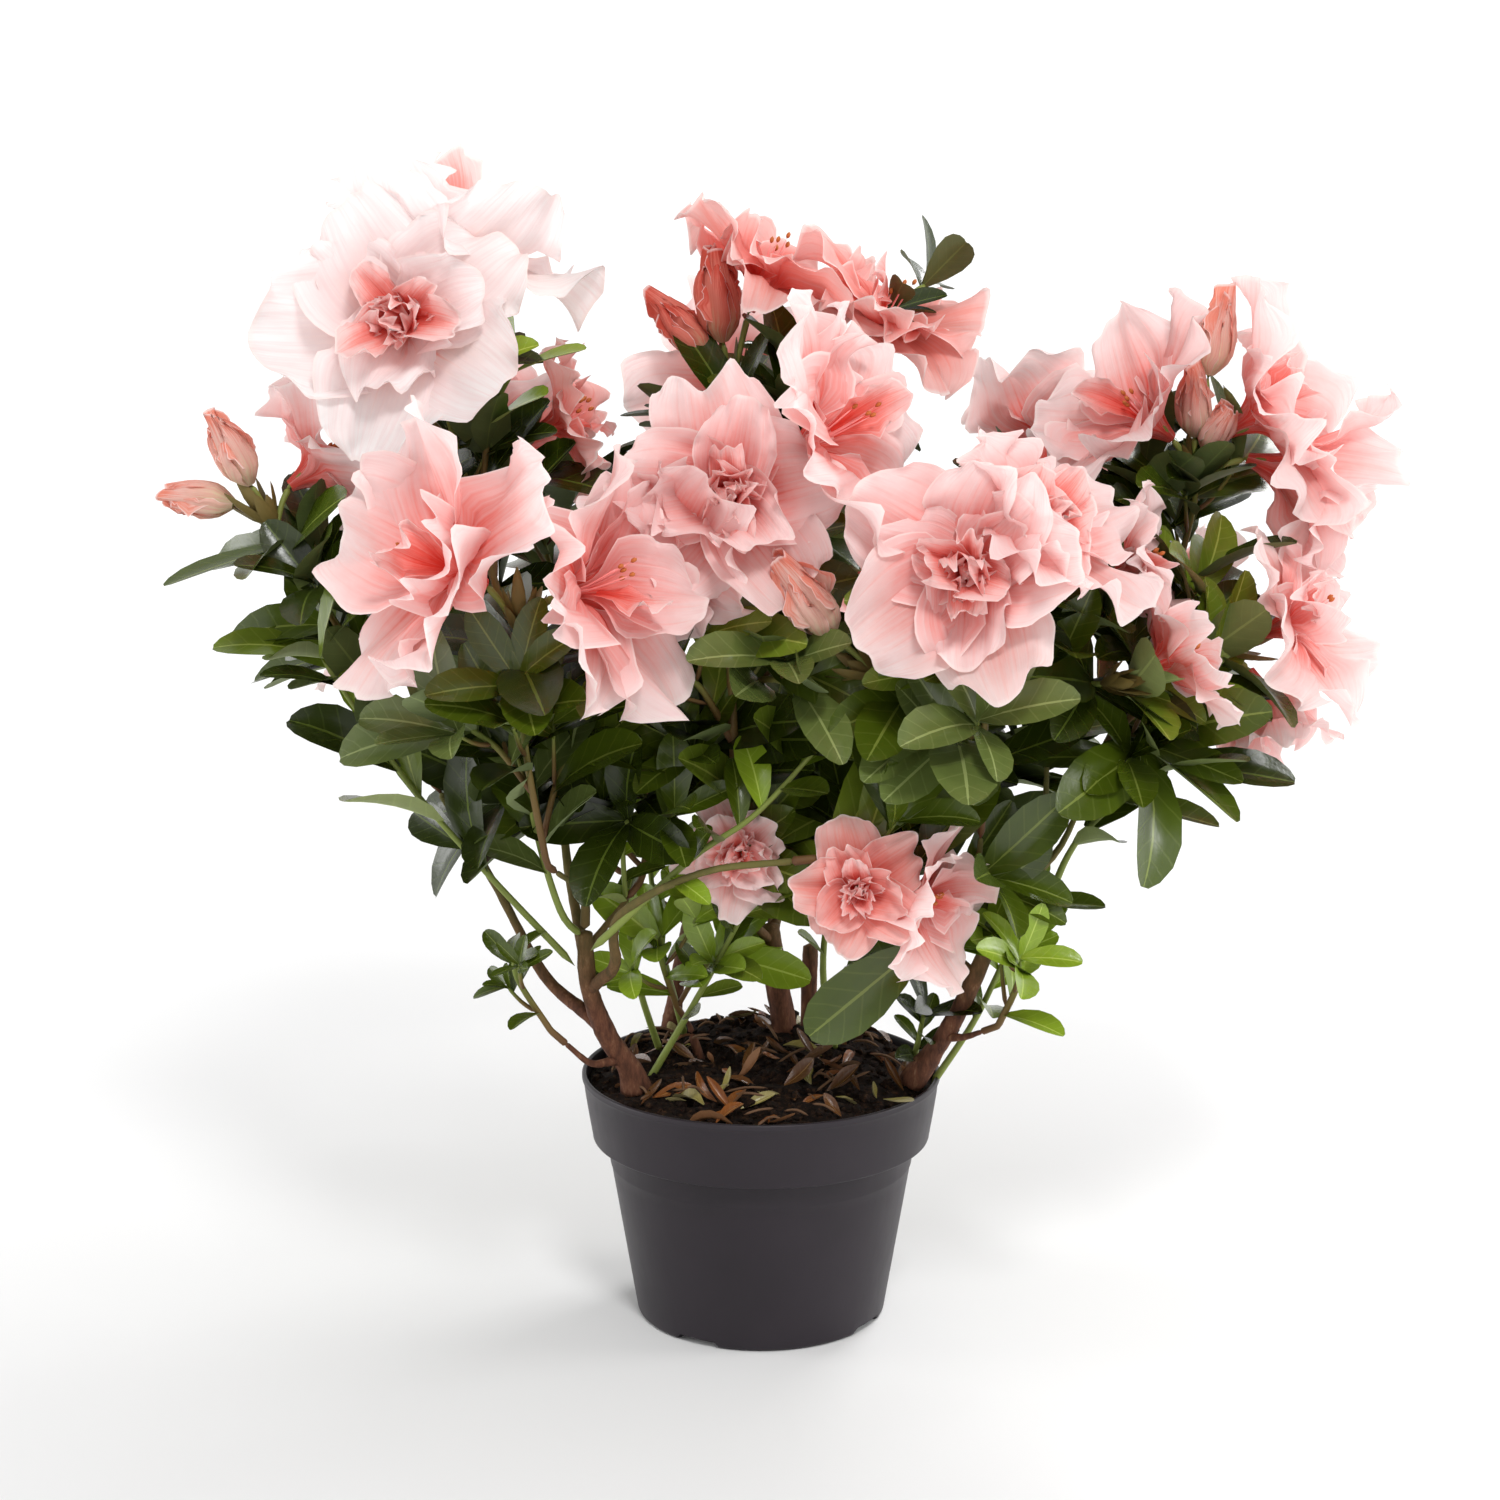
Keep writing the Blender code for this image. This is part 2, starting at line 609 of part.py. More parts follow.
def grow_blooms(name, mass, paths, space, taken):
    """The blooms and buds of one mass. One that would cut another mass is made smaller."""

    def keep_in(base, point):
        for share in PULL_BACKS:
            moved = base.lerp(point, share)
            if space.room(name, moved) > SPACE_MARGIN:
                break
        return moved

    def shapes_of(bloom, path, depth, size, dice):
        direction = (path[-1] - path[-2]).normalized()
        axis = heading_vector(bloom.heading, bloom.rise)
        base = bloom_base(path[-1], direction, bloom)
        root = path[-1] - depth * direction
        length = COROLLA_LENGTH * size
        if bloom.kind == "bud":
            return [bud(root, base, axis, BUD_LENGTH * size)]
        spread = HALF_SPREAD if bloom.kind == "half" else 1
        shapes = [corolla(root, base, axis, length, spread, LOBES, dice, keep_in)]
        if bloom.kind == "double":
            inner = INNER_LENGTH * length
            shapes.append(corolla(base, base, axis, inner, INNER_SPREAD, INNER_LOBES, dice, keep_in))
        return shapes

    pieces = []
    for number, (shoot, path) in enumerate(zip(mass.shoots, paths)):
        dice = random.Random(f"{name} bloom {number}")
        for order, bloom in enumerate(shoot.blooms):
            depth = BLOOM_DEPTH * (1 + order)
            for shrink in BLOOM_SHRINKS:
                shapes = shapes_of(bloom, path, depth, shrink * bloom.size, dice)
                if not any(taken.hit(shape, but=name) for shape in shapes):
                    break
            pieces += [("petal", shape) for shape in shapes]
            for shape in shapes:
                taken.add(name, shape)
    return pieces


def grow_leaves(name, mass, paths, space, taken):
    """The leaves of one mass. One that would leave its space or cut anything is turned, or skipped."""
    pieces = []
    for number, (shoot, path) in enumerate(zip(mass.shoots, paths)):
        dice = random.Random(f"{name} leaf {number}")
        for root, twig, turn, pitch, length in leaf_directions(shoot, path, mass.leaf * MM, dice):
            side, lean = across(twig)
            outward = Vector((root.x, root.y, 0)).normalized()
            facing = (0.5 * twig + 0.9 * outward + 0.9 * UP).normalized()
            for _ in range(LEAF_TRIES):
                out = math.cos(turn) * side + math.sin(turn) * lean
                direction = (math.cos(pitch) * twig + math.sin(pitch) * out).normalized()
                points, faces = leaf(root, direction, facing, length)
                tip, edges = points[2], (points[1], points[3])
                outline = [tip, *edges, *[edge.lerp(tip, 0.5) for edge in edges]]
                kept = all(space.room(name, point) > -LEAF_STRAY for point in outline)
                free_root = root + LEAF_ROOT_SHARE * length * direction
                free_part = leaf(free_root, direction, facing, 0.9 * length)
                if kept and not taken.hit(free_part) and not taken.hit((points, faces), but=name):
                    pieces.append(("leaf", (points, faces)))
                    taken.add(name, (points, faces))
                    break
                turn += GOLDEN_ANGLE
                length *= LEAF_SHRINK
    return pieces


def piece_object(name, shape, surface):
    points, faces = shape
    mesh = bpy.data.meshes.new(name)
    mesh.from_pydata(points, [], faces)
    return mesh_object(name, mesh, surface)


def face_groups(shape):
    """The faces of a mesh, grouped into the bodies that they make."""
    unseen = set(shape.faces)
    groups = []
    while unseen:
        front = [unseen.pop()]
        group = set(front)
        while front:
            for edge in front.pop().edges:
                for beside in edge.link_faces:
                    if beside in unseen and len(edge.link_faces) == 2:
                        unseen.discard(beside)
                        group.add(beside)
                        front.append(beside)
        groups.append(group)
    return groups


def keep_largest(mesh):
    """Drops loose scraps, and fills any hollow that fusing sealed by dropping its lining.

    It returns the share of the faces that went, or 1 where what is left isn't closed.
    """
    shape = bmesh.new()
    shape.from_mesh(mesh)
    bmesh.ops.remove_doubles(shape, verts=shape.verts, dist=WELD)
    largest = max(face_groups(shape), key=len)
    scraps = [face for face in shape.faces if face not in largest]
    lost = len(scraps) / len(shape.faces)
    bmesh.ops.delete(shape, geom=scraps, context="FACES")
    closed = all(edge.is_manifold for edge in shape.edges)
    shape.to_mesh(mesh)
    shape.free()
    return lost if closed else 1


def fuse(name, pieces, surfaces):
    """One closed solid: a Boolean union of the first piece with all the others.

    The second solver is tried where the first one loses faces, and the better result is kept.
    """
    first, *others = [
        piece_object(f"{name}_{index}", shape, surfaces[kind])
        for index, (kind, shape) in enumerate(pieces)]
    group = bpy.data.collections.new(f"{name}_pieces")
    bpy.context.scene.collection.children.link(group)
    for item in others:
        bpy.context.scene.collection.objects.unlink(item)
        group.objects.link(item)
    union = first.modifiers.new("fuse", "BOOLEAN")
    union.operation = "UNION"
    union.operand_type = "COLLECTION"
    union.collection = group
    union.material_mode = "TRANSFER"
    results = []
    for solver in ("EXACT", "MANIFOLD"):
        union.solver = solver
        evaluated = first.evaluated_get(bpy.context.evaluated_depsgraph_get())
        mesh = bpy.data.meshes.new_from_object(evaluated)
        results.append((keep_largest(mesh), mesh))
        if results[0][0] == 0:
            break
    mesh = min(results, key=lambda result: result[0])[1]
    mesh.name = name
    for item in [first, *others]:
        bpy.data.objects.remove(item)
    bpy.data.collections.remove(group)
    item = bpy.data.objects.new(name, mesh)
    bpy.context.scene.collection.objects.link(item)


def shell_of_limbs(lines):
    """One search tree of all the limbs, a little thicker than they are."""
    points, faces = [], []
    for path, radii in lines:
        tube_points, tube_faces = tube(path, [radius + LEAF_CLEARANCE for radius in radii], 8)
        faces += [tuple(len(points) + corner for corner in face) for face in tube_faces]
        points += tube_points
    return BVHTree.FromPolygons(points, faces)


def main():
    clear_scene()
    plastic = material("dark_grey_plastic", (0.045, 0.042, 0.05), 0.4)
    ground = material("potting_soil", (0.03, 0.018, 0.012), 0.95)
    surfaces = {
        "wood": material("bark", (0.16, 0.075, 0.05), 0.8),
        "leaf": material("green_leaf", (0.045, 0.12, 0.03), 0.4),
        "petal": material("pink_petal", (0.88, 0.42, 0.4), 0.5),
    }
    add_pot(plastic)
    add_soil(ground)

    stems = {name: stem_path(stem) for name, stem in STEMS.items()}
    boughs = {name: bough_path(mass, stems) for name, mass in MASSES.items()}
    for name, (path, radii) in stems.items():
        add_limb(name, path, radii, STEM_SIDES, surfaces["wood"])
    for name, (path, radii) in boughs.items():
        add_limb(f"bough_{name}", path, radii, BOUGH_SIDES, surfaces["wood"])

    twigs = {name: shoot_paths(mass, boughs[name][0]) for name, mass in MASSES.items()}
    space = share_space(twigs)
    taken = Taken(shell_of_limbs([*stems.values(), *boughs.values()]))
    pieces = {}
    for name, mass in MASSES.items():
        root_radius = max(boughs[name][1][-1], 1.1 * TWIG_TIP_RADIUS)
        pieces[name] = grow_twigs(name, mass, twigs[name], root_radius, taken)
    for name, mass in MASSES.items():
        pieces[name] += grow_blooms(name, mass, twigs[name], space, taken)
    for name, mass in MASSES.items():
        pieces[name] += grow_leaves(name, mass, twigs[name], space, taken)
    for name in MASSES:
        fuse(name, pieces[name], surfaces)


main()
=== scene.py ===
import math
import random
from collections import namedtuple

import bmesh
import bpy
import numpy as np
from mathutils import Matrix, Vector, noise
from mathutils.bvhtree import BVHTree


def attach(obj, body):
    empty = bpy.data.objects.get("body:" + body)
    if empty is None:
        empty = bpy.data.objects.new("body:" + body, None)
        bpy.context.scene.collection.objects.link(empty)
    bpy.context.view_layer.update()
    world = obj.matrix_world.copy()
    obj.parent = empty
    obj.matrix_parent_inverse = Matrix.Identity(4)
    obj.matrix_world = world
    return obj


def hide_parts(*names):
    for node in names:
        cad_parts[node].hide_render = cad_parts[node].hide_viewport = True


# Frame and studio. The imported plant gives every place, in metres, with the front facing -Y. It stands
# on a broad pale floor under an even white sky, between large soft lamps, and the camera looks down
# on it a little from the front.
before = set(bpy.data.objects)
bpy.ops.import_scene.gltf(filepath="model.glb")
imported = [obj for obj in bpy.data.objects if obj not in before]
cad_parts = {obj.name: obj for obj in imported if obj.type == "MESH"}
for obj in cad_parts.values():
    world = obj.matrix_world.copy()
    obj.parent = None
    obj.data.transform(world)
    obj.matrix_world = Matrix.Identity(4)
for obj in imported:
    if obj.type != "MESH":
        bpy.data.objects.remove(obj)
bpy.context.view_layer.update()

CAMERA_PITCH = 11.7
scene = bpy.context.scene
camera = bpy.data.objects.new("camera", bpy.data.cameras.new("camera"))
camera.data.lens = 72
camera.data.sensor_width = 36
camera.location = (-0.0043, -1.125, 0.458)
camera.rotation_euler = (math.radians(90 - CAMERA_PITCH), 0, 0)
scene.collection.objects.link(camera)
scene.camera = camera
scene.view_settings.view_transform = "Standard"

sky = bpy.data.worlds.new("white_sky")
sky.use_nodes = True
sky.node_tree.nodes["Background"].inputs["Color"].default_value = (1, 1, 1, 1)
sky.node_tree.nodes["Background"].inputs["Strength"].default_value = 0.55
scene.world = sky


def plain_material(name, colour, roughness, specular=0.5):
    """A Principled material with a plain linear colour."""
    made = bpy.data.materials.new(name)
    made.use_nodes = True
    shader = made.node_tree.nodes["Principled BSDF"]
    shader.inputs["Base Color"].default_value = (*colour, 1)
    shader.inputs["Roughness"].default_value = roughness
    shader.inputs["Specular IOR Level"].default_value = specular
    return made


def put(tree, socket, value):
    """Gives a socket a number, a vector, a linear colour, or what another node puts out."""
    if isinstance(value, bpy.types.NodeSocket):
        tree.links.new(value, socket)
    else:
        socket.default_value = (*value, 1) if isinstance(value, tuple) else value


def node(tree, kind, output, inputs, **settings):
    """What a new node puts out, once its settings are made and its inputs are given."""
    made = tree.nodes.new(f"ShaderNode{kind}")
    for name, value in settings.items():
        setattr(made, name, value)
    for socket, value in inputs.items():
        put(tree, made.inputs[socket], value)
    return made.outputs[output]


def feed(material, sources):
    """Gives sockets of a material's Principled node what is named with each of them."""
    tree = material.node_tree
    for socket, source in sources.items():
        put(tree, tree.nodes["Principled BSDF"].inputs[socket], source)


def remapped(tree, value, low, high, start=0, stop=1):
    """A value spread from between start and stop onto a low and a high one."""
    return node(tree, "MapRange", "Result", {
        "Value": value, "From Min": start, "From Max": stop, "To Min": low, "To Max": high})


def piece_of(name, mesh, surface):
    """A scene object of a mesh, with its material."""
    mesh.materials.append(surface)
    item = bpy.data.objects.new(name, mesh)
    scene.collection.objects.link(item)
    return item


def turned(name, profile, steps, surface):
    """A round piece from its half profile, given as radius and height from the axis outwards."""
    shape = bmesh.new()
    points = [shape.verts.new((radius, 0, height)) for radius, height in profile]
    edges = [shape.edges.new(pair) for pair in zip(points, points[1:])]
    bmesh.ops.spin(shape, geom=[*points, *edges], axis=(0, 0, 1), cent=(0, 0, 0),
                   angle=math.tau, steps=steps, use_merge=True)
    bmesh.ops.remove_doubles(shape, verts=shape.verts, dist=0.00001)
    bmesh.ops.recalc_face_normals(shape, faces=shape.faces)
    mesh = bpy.data.meshes.new(name)
    shape.to_mesh(mesh)
    shape.free()
    mesh.shade_smooth()
    return piece_of(name, mesh, surface)


FLOOR_REACH = 3.0
BACKDROP_BEND = 1.0
BACKDROP_TOP = 1.6
BEND_STEPS = 12
FLOOR_STEPS = 96
SHADE_FADE_START, SHADE_FADE_END = 0.2, 1.9
# The floor glows more and more away from the pot while its own colour darkens, so it shows white far off and
# greyer round the pot: painted shade round the pot.
white_card = plain_material("white_card", (0.8, 0.8, 0.8), 1, specular=0)
tree = white_card.node_tree
from_middle = node(tree, "VectorMath", "Value", {0: node(tree, "TexCoord", "Object", {})}, operation="LENGTH")
feed(white_card, {
    "Base Color": remapped(tree, from_middle, 0.8, 0.25, SHADE_FADE_START, SHADE_FADE_END),
    "Emission Color": (1, 1, 1),
    "Emission Strength": remapped(tree, from_middle, 0, 0.95, SHADE_FADE_START, SHADE_FADE_END)})
bend = [(FLOOR_REACH + BACKDROP_BEND * math.sin(t), BACKDROP_BEND * (1 - math.cos(t)))
        for t in (math.pi / 2 * step / BEND_STEPS for step in range(BEND_STEPS + 1))]
backdrop_edge = (FLOOR_REACH + BACKDROP_BEND, BACKDROP_TOP)
floor = turned("floor", [(0, 0), (1, 0), *bend, backdrop_edge], FLOOR_STEPS, white_card)


def soft_lamp(name, place, aim, width, power):
    lamp = bpy.data.lights.new(name, "AREA")
    lamp.size = width
    lamp.energy = power
    item = bpy.data.objects.new(name, lamp)
    item.location = place
    item.rotation_euler = (Vector(aim) - Vector(place)).to_track_quat("-Z", "Y").to_euler()
    scene.collection.objects.link(item)


crown = (0, 0, 0.28)
soft_lamp("key_lamp", (0.2, -1.2, 1.5), crown, 0.35, 14)
soft_lamp("left_lamp", (-1.6, 0.1, 0.5), crown, 0.6, 7)
soft_lamp("right_lamp", (1.6, 0.0, 0.6), crown, 0.6, 9)
soft_lamp("back_lamp", (0.8, 1.1, 1.5), crown, 0.6, 16)

# Pot: a three-quarter height nursery pot, blown from thin dark grey plastic with a deep band under its
# lip, a faint ring on its wall and four drainage notches under its foot. It is turned from its profile.
MM = 0.001
POT_HEIGHT = 98 * MM
RIM_RADIUS = 70 * MM
BAND_FOOT_RADIUS = 66 * MM
BAND_FOOT = 73 * MM
BODY_TOP_RADIUS = 60.5 * MM
FOOT_RADIUS = 49 * MM
WALL = 1.6 * MM
FIRST_NOTCH = math.radians(-121)
NOTCH_HALF_TURN = math.radians(9.9)
NOTCH_HEIGHT = 2.8 * MM
NOTCH_INSIDE = 43.6 * MM
POT_STEPS = 144


def wall_radius(height):
    """The radius of the pot's outer wall below its band."""
    return FOOT_RADIUS + (BODY_TOP_RADIUS - FOOT_RADIUS) * (height - 2 * MM) / (BAND_FOOT - 4 * MM)


def round_corner(centre, radius, start, stop, steps=5):
    """Profile points round a corner, with the angles in degrees from straight out."""
    turns = [math.radians(start + (stop - start) * i / steps) for i in range(steps + 1)]
    return [(centre[0] + radius * math.cos(t), centre[1] + radius * math.sin(t)) for t in turns]


wall_rings = [(wall_radius(z * MM), z * MM) for z in (6, 14, 24, 34, 44, 52, 57, 60.4)]
ring_mark = [(wall_radius(61 * MM) + 0.25 * MM, 61.2 * MM), (wall_radius(62 * MM) + 0.25 * MM, 62 * MM)]
pot_outside = [
    (0, 0), (20 * MM, 0), (NOTCH_INSIDE - 0.2 * MM, 0), (NOTCH_INSIDE + 0.2 * MM, 0), (46 * MM, 0),
    *round_corner((FOOT_RADIUS - 2.2 * MM, 2.2 * MM), 2.2 * MM, -90, -4),
    *wall_rings, *ring_mark, (wall_radius(62.8 * MM), 62.8 * MM), (wall_radius(67 * MM), 67 * MM),
    (BODY_TOP_RADIUS, 71 * MM),
    *round_corner((BODY_TOP_RADIUS + 1.2 * MM, 70.4 * MM), 1.2 * MM, 180, 90, 3),
    *round_corner((BAND_FOOT_RADIUS - 1.1 * MM, 72.6 * MM), 1.1 * MM, -90, 8),
    (67.4 * MM, 81 * MM), (68.8 * MM, 90 * MM), (69.3 * MM, 94.4 * MM),
    *round_corner((RIM_RADIUS - 0.8 * MM, 96 * MM), 0.8 * MM, -40, 30, 3),
    *round_corner((RIM_RADIUS - 0.9 * MM, POT_HEIGHT - 0.9 * MM), 0.9 * MM, 10, 170, 6),
]
pot_inside = [
    (68 * MM, 94 * MM), (66.2 * MM, 82 * MM), (64.6 * MM, 75 * MM), (59 * MM, 73.4 * MM),
    (53.6 * MM, 40 * MM), (47.6 * MM, 4 * MM), (45 * MM, WALL), (0, WALL)]


def noise_texture(tree, coordinates, scale, detail=4, roughness=0.6):
    return node(tree, "TexNoise", "Fac", {
        "Vector": coordinates, "Scale": scale, "Detail": detail, "Roughness": roughness})


def linear(red, green, blue):
    """A linear colour from the 0 to 255 values a picture shows."""
    return tuple((value / 255) ** 2.2 for value in (red, green, blue))


def colour_ramp(tree, factor, stops):
    """A ramp of plain colours, given as place and 0 to 255 values."""
    colour = node(tree, "ValToRGB", "Color", {"Fac": factor})
    elements = colour.node.color_ramp.elements
    while len(elements) < len(stops):
        elements.new(0.5)
    for element, (place, tone) in zip(elements, stops):
        element.position = place
        element.color = (*linear(*tone), 1)
    return colour


def bumped(tree, height, strength, distance):
    return node(tree, "Bump", "Normal", {"Height": height, "Strength": strength, "Distance": distance})


def stretched(tree, coordinates, stretch):
    """Coordinates squeezed where a pattern is long one way."""
    return node(tree, "Mapping", "Vector", {"Vector": coordinates, "Scale": Vector(stretch)})


def object_place(tree, stretch=(1, 1, 1)):
    return stretched(tree, node(tree, "TexCoord", "Object", {}), stretch)


pot_plastic = plain_material("dark_grey_plastic", (0.03, 0.028, 0.032), 0.45, specular=0.35)
tree = pot_plastic.node_tree
scuffs = noise_texture(tree, object_place(tree, (1, 1, 0.35)), 90, detail=6, roughness=0.7)
cloud = noise_texture(tree, object_place(tree), 16, detail=3)
feed(pot_plastic, {
    "Base Color": colour_ramp(tree, cloud, [(0.3, (36, 31, 36)), (0.7, (43, 37, 43))]),
    "Roughness": remapped(tree, scuffs, 0.36, 0.56),
    "Normal": bumped(tree, scuffs, 0.12, 0.0004)})

pot = turned("nursery_pot", [*pot_outside, *pot_inside], POT_STEPS, pot_plastic)
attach(pot, "root")
for vertex in pot.data.vertices:
    turn = math.atan2(vertex.co.y, vertex.co.x)
    from_notch = (turn - FIRST_NOTCH + math.pi / 4) % (math.pi / 2) - math.pi / 4
    radius = math.hypot(vertex.co.x, vertex.co.y)
    if abs(from_notch) < NOTCH_HALF_TURN and radius > NOTCH_INSIDE and vertex.co.z < NOTCH_HEIGHT:
        vertex.co.z = NOTCH_HEIGHT
pot.data.set_sharp_from_angle(angle=math.radians(40))
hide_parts("pot")

# Potting soil: dark peaty compost, heaped a little towards the back, with crumbs and chips on it. Its
# skin is a turned disc pushed up and down by noise, and the crumbs are small dented balls.
SOIL_EDGE = 67.4 * MM
SOIL_LEVEL = 93.5 * MM
SOIL_RINGS = 64
SOIL_STEPS = 150
CRUMBS = 900


def soil_height(x, y):
    """The lumpy top of the soil, which is highest behind the middle."""
    radius = math.hypot(x, y) / SOIL_EDGE
    heap = 13 * MM * max(0, 1 - radius**3) * (0.7 + 0.6 * y / SOIL_EDGE)
    lumps = 3.4 * MM * noise.noise(Vector((x, y, 0.3)) * 75)
    lumps += 1.8 * MM * noise.noise(Vector((x, y, 2)) * 210)
    grains = 0.7 * MM * noise.noise(Vector((x, y, 5)) * 520)
    return SOIL_LEVEL + heap + lumps * min(1, 3 * (1.12 - radius)) + grains


def soil_spot(dice, reach):
    """A random spot within a share of the soil's radius."""
    turn, radius = dice.uniform(0, math.tau), SOIL_EDGE * reach * math.sqrt(dice.random())
    return radius * math.cos(turn), radius * math.sin(turn)


soil_mix = plain_material("peaty_compost", (0.02, 0.013, 0.01), 0.95, specular=0.2)
tree = soil_mix.node_tree
grit = noise_texture(tree, object_place(tree), 420, detail=5, roughness=0.7)
feed(soil_mix, {
    "Base Color": colour_ramp(tree, grit, [
        (0.34, (16, 11, 9)), (0.54, (36, 25, 19)), (0.68, (70, 50, 35)), (0.78, (110, 84, 58))]),
    "Normal": bumped(tree, grit, 0.9, 0.0012)})

soil_profile = [(SOIL_EDGE * ring / SOIL_RINGS, SOIL_LEVEL) for ring in range(SOIL_RINGS + 1)]
soil_wall = [
    (65.4 * MM, 84 * MM), (63.8 * MM, 75.6 * MM), (58.4 * MM, 73.8 * MM), (46.8 * MM, 4 * MM),
    (0, 2.2 * MM)]
soil = turned("compost", [*soil_profile, *soil_wall], SOIL_STEPS, soil_mix)
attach(soil, "root")
for vertex in soil.data.vertices:
    if vertex.co.z > SOIL_LEVEL - 0.1 * MM:
        vertex.co.z = soil_height(vertex.co.x, vertex.co.y)
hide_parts("soil")

dice = random.Random("crumbs")
shape = bmesh.new()
for _ in range(CRUMBS):
    x, y = soil_spot(dice, 0.97)
    size = dice.choice((0.8, 1, 1.3, 1.8, 2.6)) * MM
    crumb = bmesh.ops.create_icosphere(shape, subdivisions=1, radius=size)["verts"]
    stretch = Vector((dice.uniform(0.6, 1.5), dice.uniform(0.6, 1.3), dice.uniform(0.5, 0.9)))
    for vertex in crumb:
        dent = 1 + 0.45 * noise.noise(vertex.co / size * 1.3 + Vector((x, y, 0)) * 900)
        vertex.co = Vector(a * b for a, b in zip(vertex.co, stretch)) * dent
    bmesh.ops.translate(shape, verts=crumb, vec=(x, y, soil_height(x, y) + 0.15 * size))
mesh = bpy.data.meshes.new("crumbs")
shape.to_mesh(mesh)
shape.free()
crumbs = piece_of("crumbs", mesh, soil_mix)
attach(crumbs, "root")

# Stems and boughs: brown-red woody limbs with thin flaking bark. Each stem rises from the soil with a
# flared foot, each bough leaves its stem at a crotch, and all of them are sheets rolled round a line,
# pushed in and out by the bark's relief. The lines repeat those of the solids.
UP = Vector((0, 0, 1))
Sheet = namedtuple("Sheet", "u v under faces corner_u corner_v")


def flat_sheet(columns, rows, two_sided=False):
    """A sheet with u from -1 to 1 across it and v from 0 to 1 along it.

    Every limb, leaf, petal and bud is such a sheet, rolled or bent to its form. A two-sided one has a
    second face sheet under the first, and the two share their outline.
    """
    shape = bmesh.new()
    bmesh.ops.create_grid(shape, x_segments=columns, y_segments=rows, size=1)
    for vertex in shape.verts:
        vertex.co.y = (vertex.co.y + 1) / 2
    if two_sided:
        copied = bmesh.ops.duplicate(shape, geom=shape.faces[:])["geom"]
        under_faces = [item for item in copied if isinstance(item, bmesh.types.BMFace)]
        bmesh.ops.reverse_faces(shape, faces=under_faces)
        for vertex in {corner for face in under_faces for corner in face.verts}:
            inside = abs(vertex.co.x) < 0.999 and 0.001 < vertex.co.y < 0.999
            vertex.co.z = -1 if inside else 0
        bmesh.ops.remove_doubles(shape, verts=shape.verts, dist=0.0001)
    shape.verts.ensure_lookup_table()
    shape.normal_update()
    places = np.array([vertex.co for vertex in shape.verts])
    faces = np.array([[vertex.index for vertex in face.verts] for face in shape.faces])
    beneath = np.array([face.normal.z < 0 for face in shape.faces])
    shape.free()
    corner_u = (places[faces, 0] + 1) / 2
    if two_sided:
        corner_u = (corner_u + beneath[:, None]) / 2
    return Sheet(places[:, 0], places[:, 1], -places[:, 2], faces, corner_u, places[faces, 1])


def joined(name, parts, surface, sharp=None):
    """One piece from many bent sheets, with a shared map that stacks all of them."""
    offsets = np.cumsum([0] + [len(points) for _, points in parts[:-1]])
    points = np.concatenate([points for _, points in parts])
    faces = np.concatenate([sheet.faces + offset for (sheet, _), offset in zip(parts, offsets)])
    mesh = bpy.data.meshes.new(name)
    mesh.from_pydata(points.tolist(), [], faces.tolist())
    corners = np.stack([
        np.concatenate([sheet.corner_u.ravel() for sheet, _ in parts]),
        np.concatenate([sheet.corner_v.ravel() for sheet, _ in parts])], axis=1)
    mesh.uv_layers.new(name="OFBake").data.foreach_set("uv", corners.ravel())
    shape = bmesh.new()
    shape.from_mesh(mesh)
    bmesh.ops.remove_doubles(shape, verts=shape.verts, dist=0.000002)
    shape.to_mesh(mesh)
    shape.free()
    mesh.shade_smooth()
    if sharp:
        mesh.set_sharp_from_angle(angle=math.radians(sharp))
    item = piece_of(name, mesh, surface)
    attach(item, "root")
    return item


Stem = namedtuple("Stem", "points foot_radius tip_radius")
Mass = namedtuple("Mass", "carrier along bends shoots leaf", defaults=(50,))
Shoot = namedtuple("Shoot", "tip leaves whorl blooms leaf_share tint", defaults=((), 1.0, None))
Bloom = namedtuple("Bloom", "kind heading rise size tone stalk", defaults=("pink", 20))

STEMS = {
    "stem_left": Stem([(-50, -25, 105), (-59, -30, 121), (-65, -36, 142), (-66, -41, 165)], 4.6, 2.9),
    "stem_back_left": Stem([(-35, 44, 110), (-31, 40, 135), (-26, 35, 160), (-22, 30, 180)], 3.4, 2.3),
    "stem_centre": Stem([(9, 22, 110), (6, 20, 130), (3, 18, 152)], 5.4, 4.0),
    "stem_right": Stem([
        (60, -17, 101), (69, -20, 115), (77, -24, 132), (86, -29, 155), (97, -34, 184)], 4.0, 2.6),
    "pruned_stub": Stem([(19, 31, 110), (20, 32, 140)], 3.2, 3.0),
    "stem_young": Stem([(-24, 2, 101), (-27, 0, 112)], 2.2, 1.8),
    "stem_back_right": Stem([(38, 36, 108), (42, 42, 132), (48, 48, 158)], 3.6, 2.6),
}

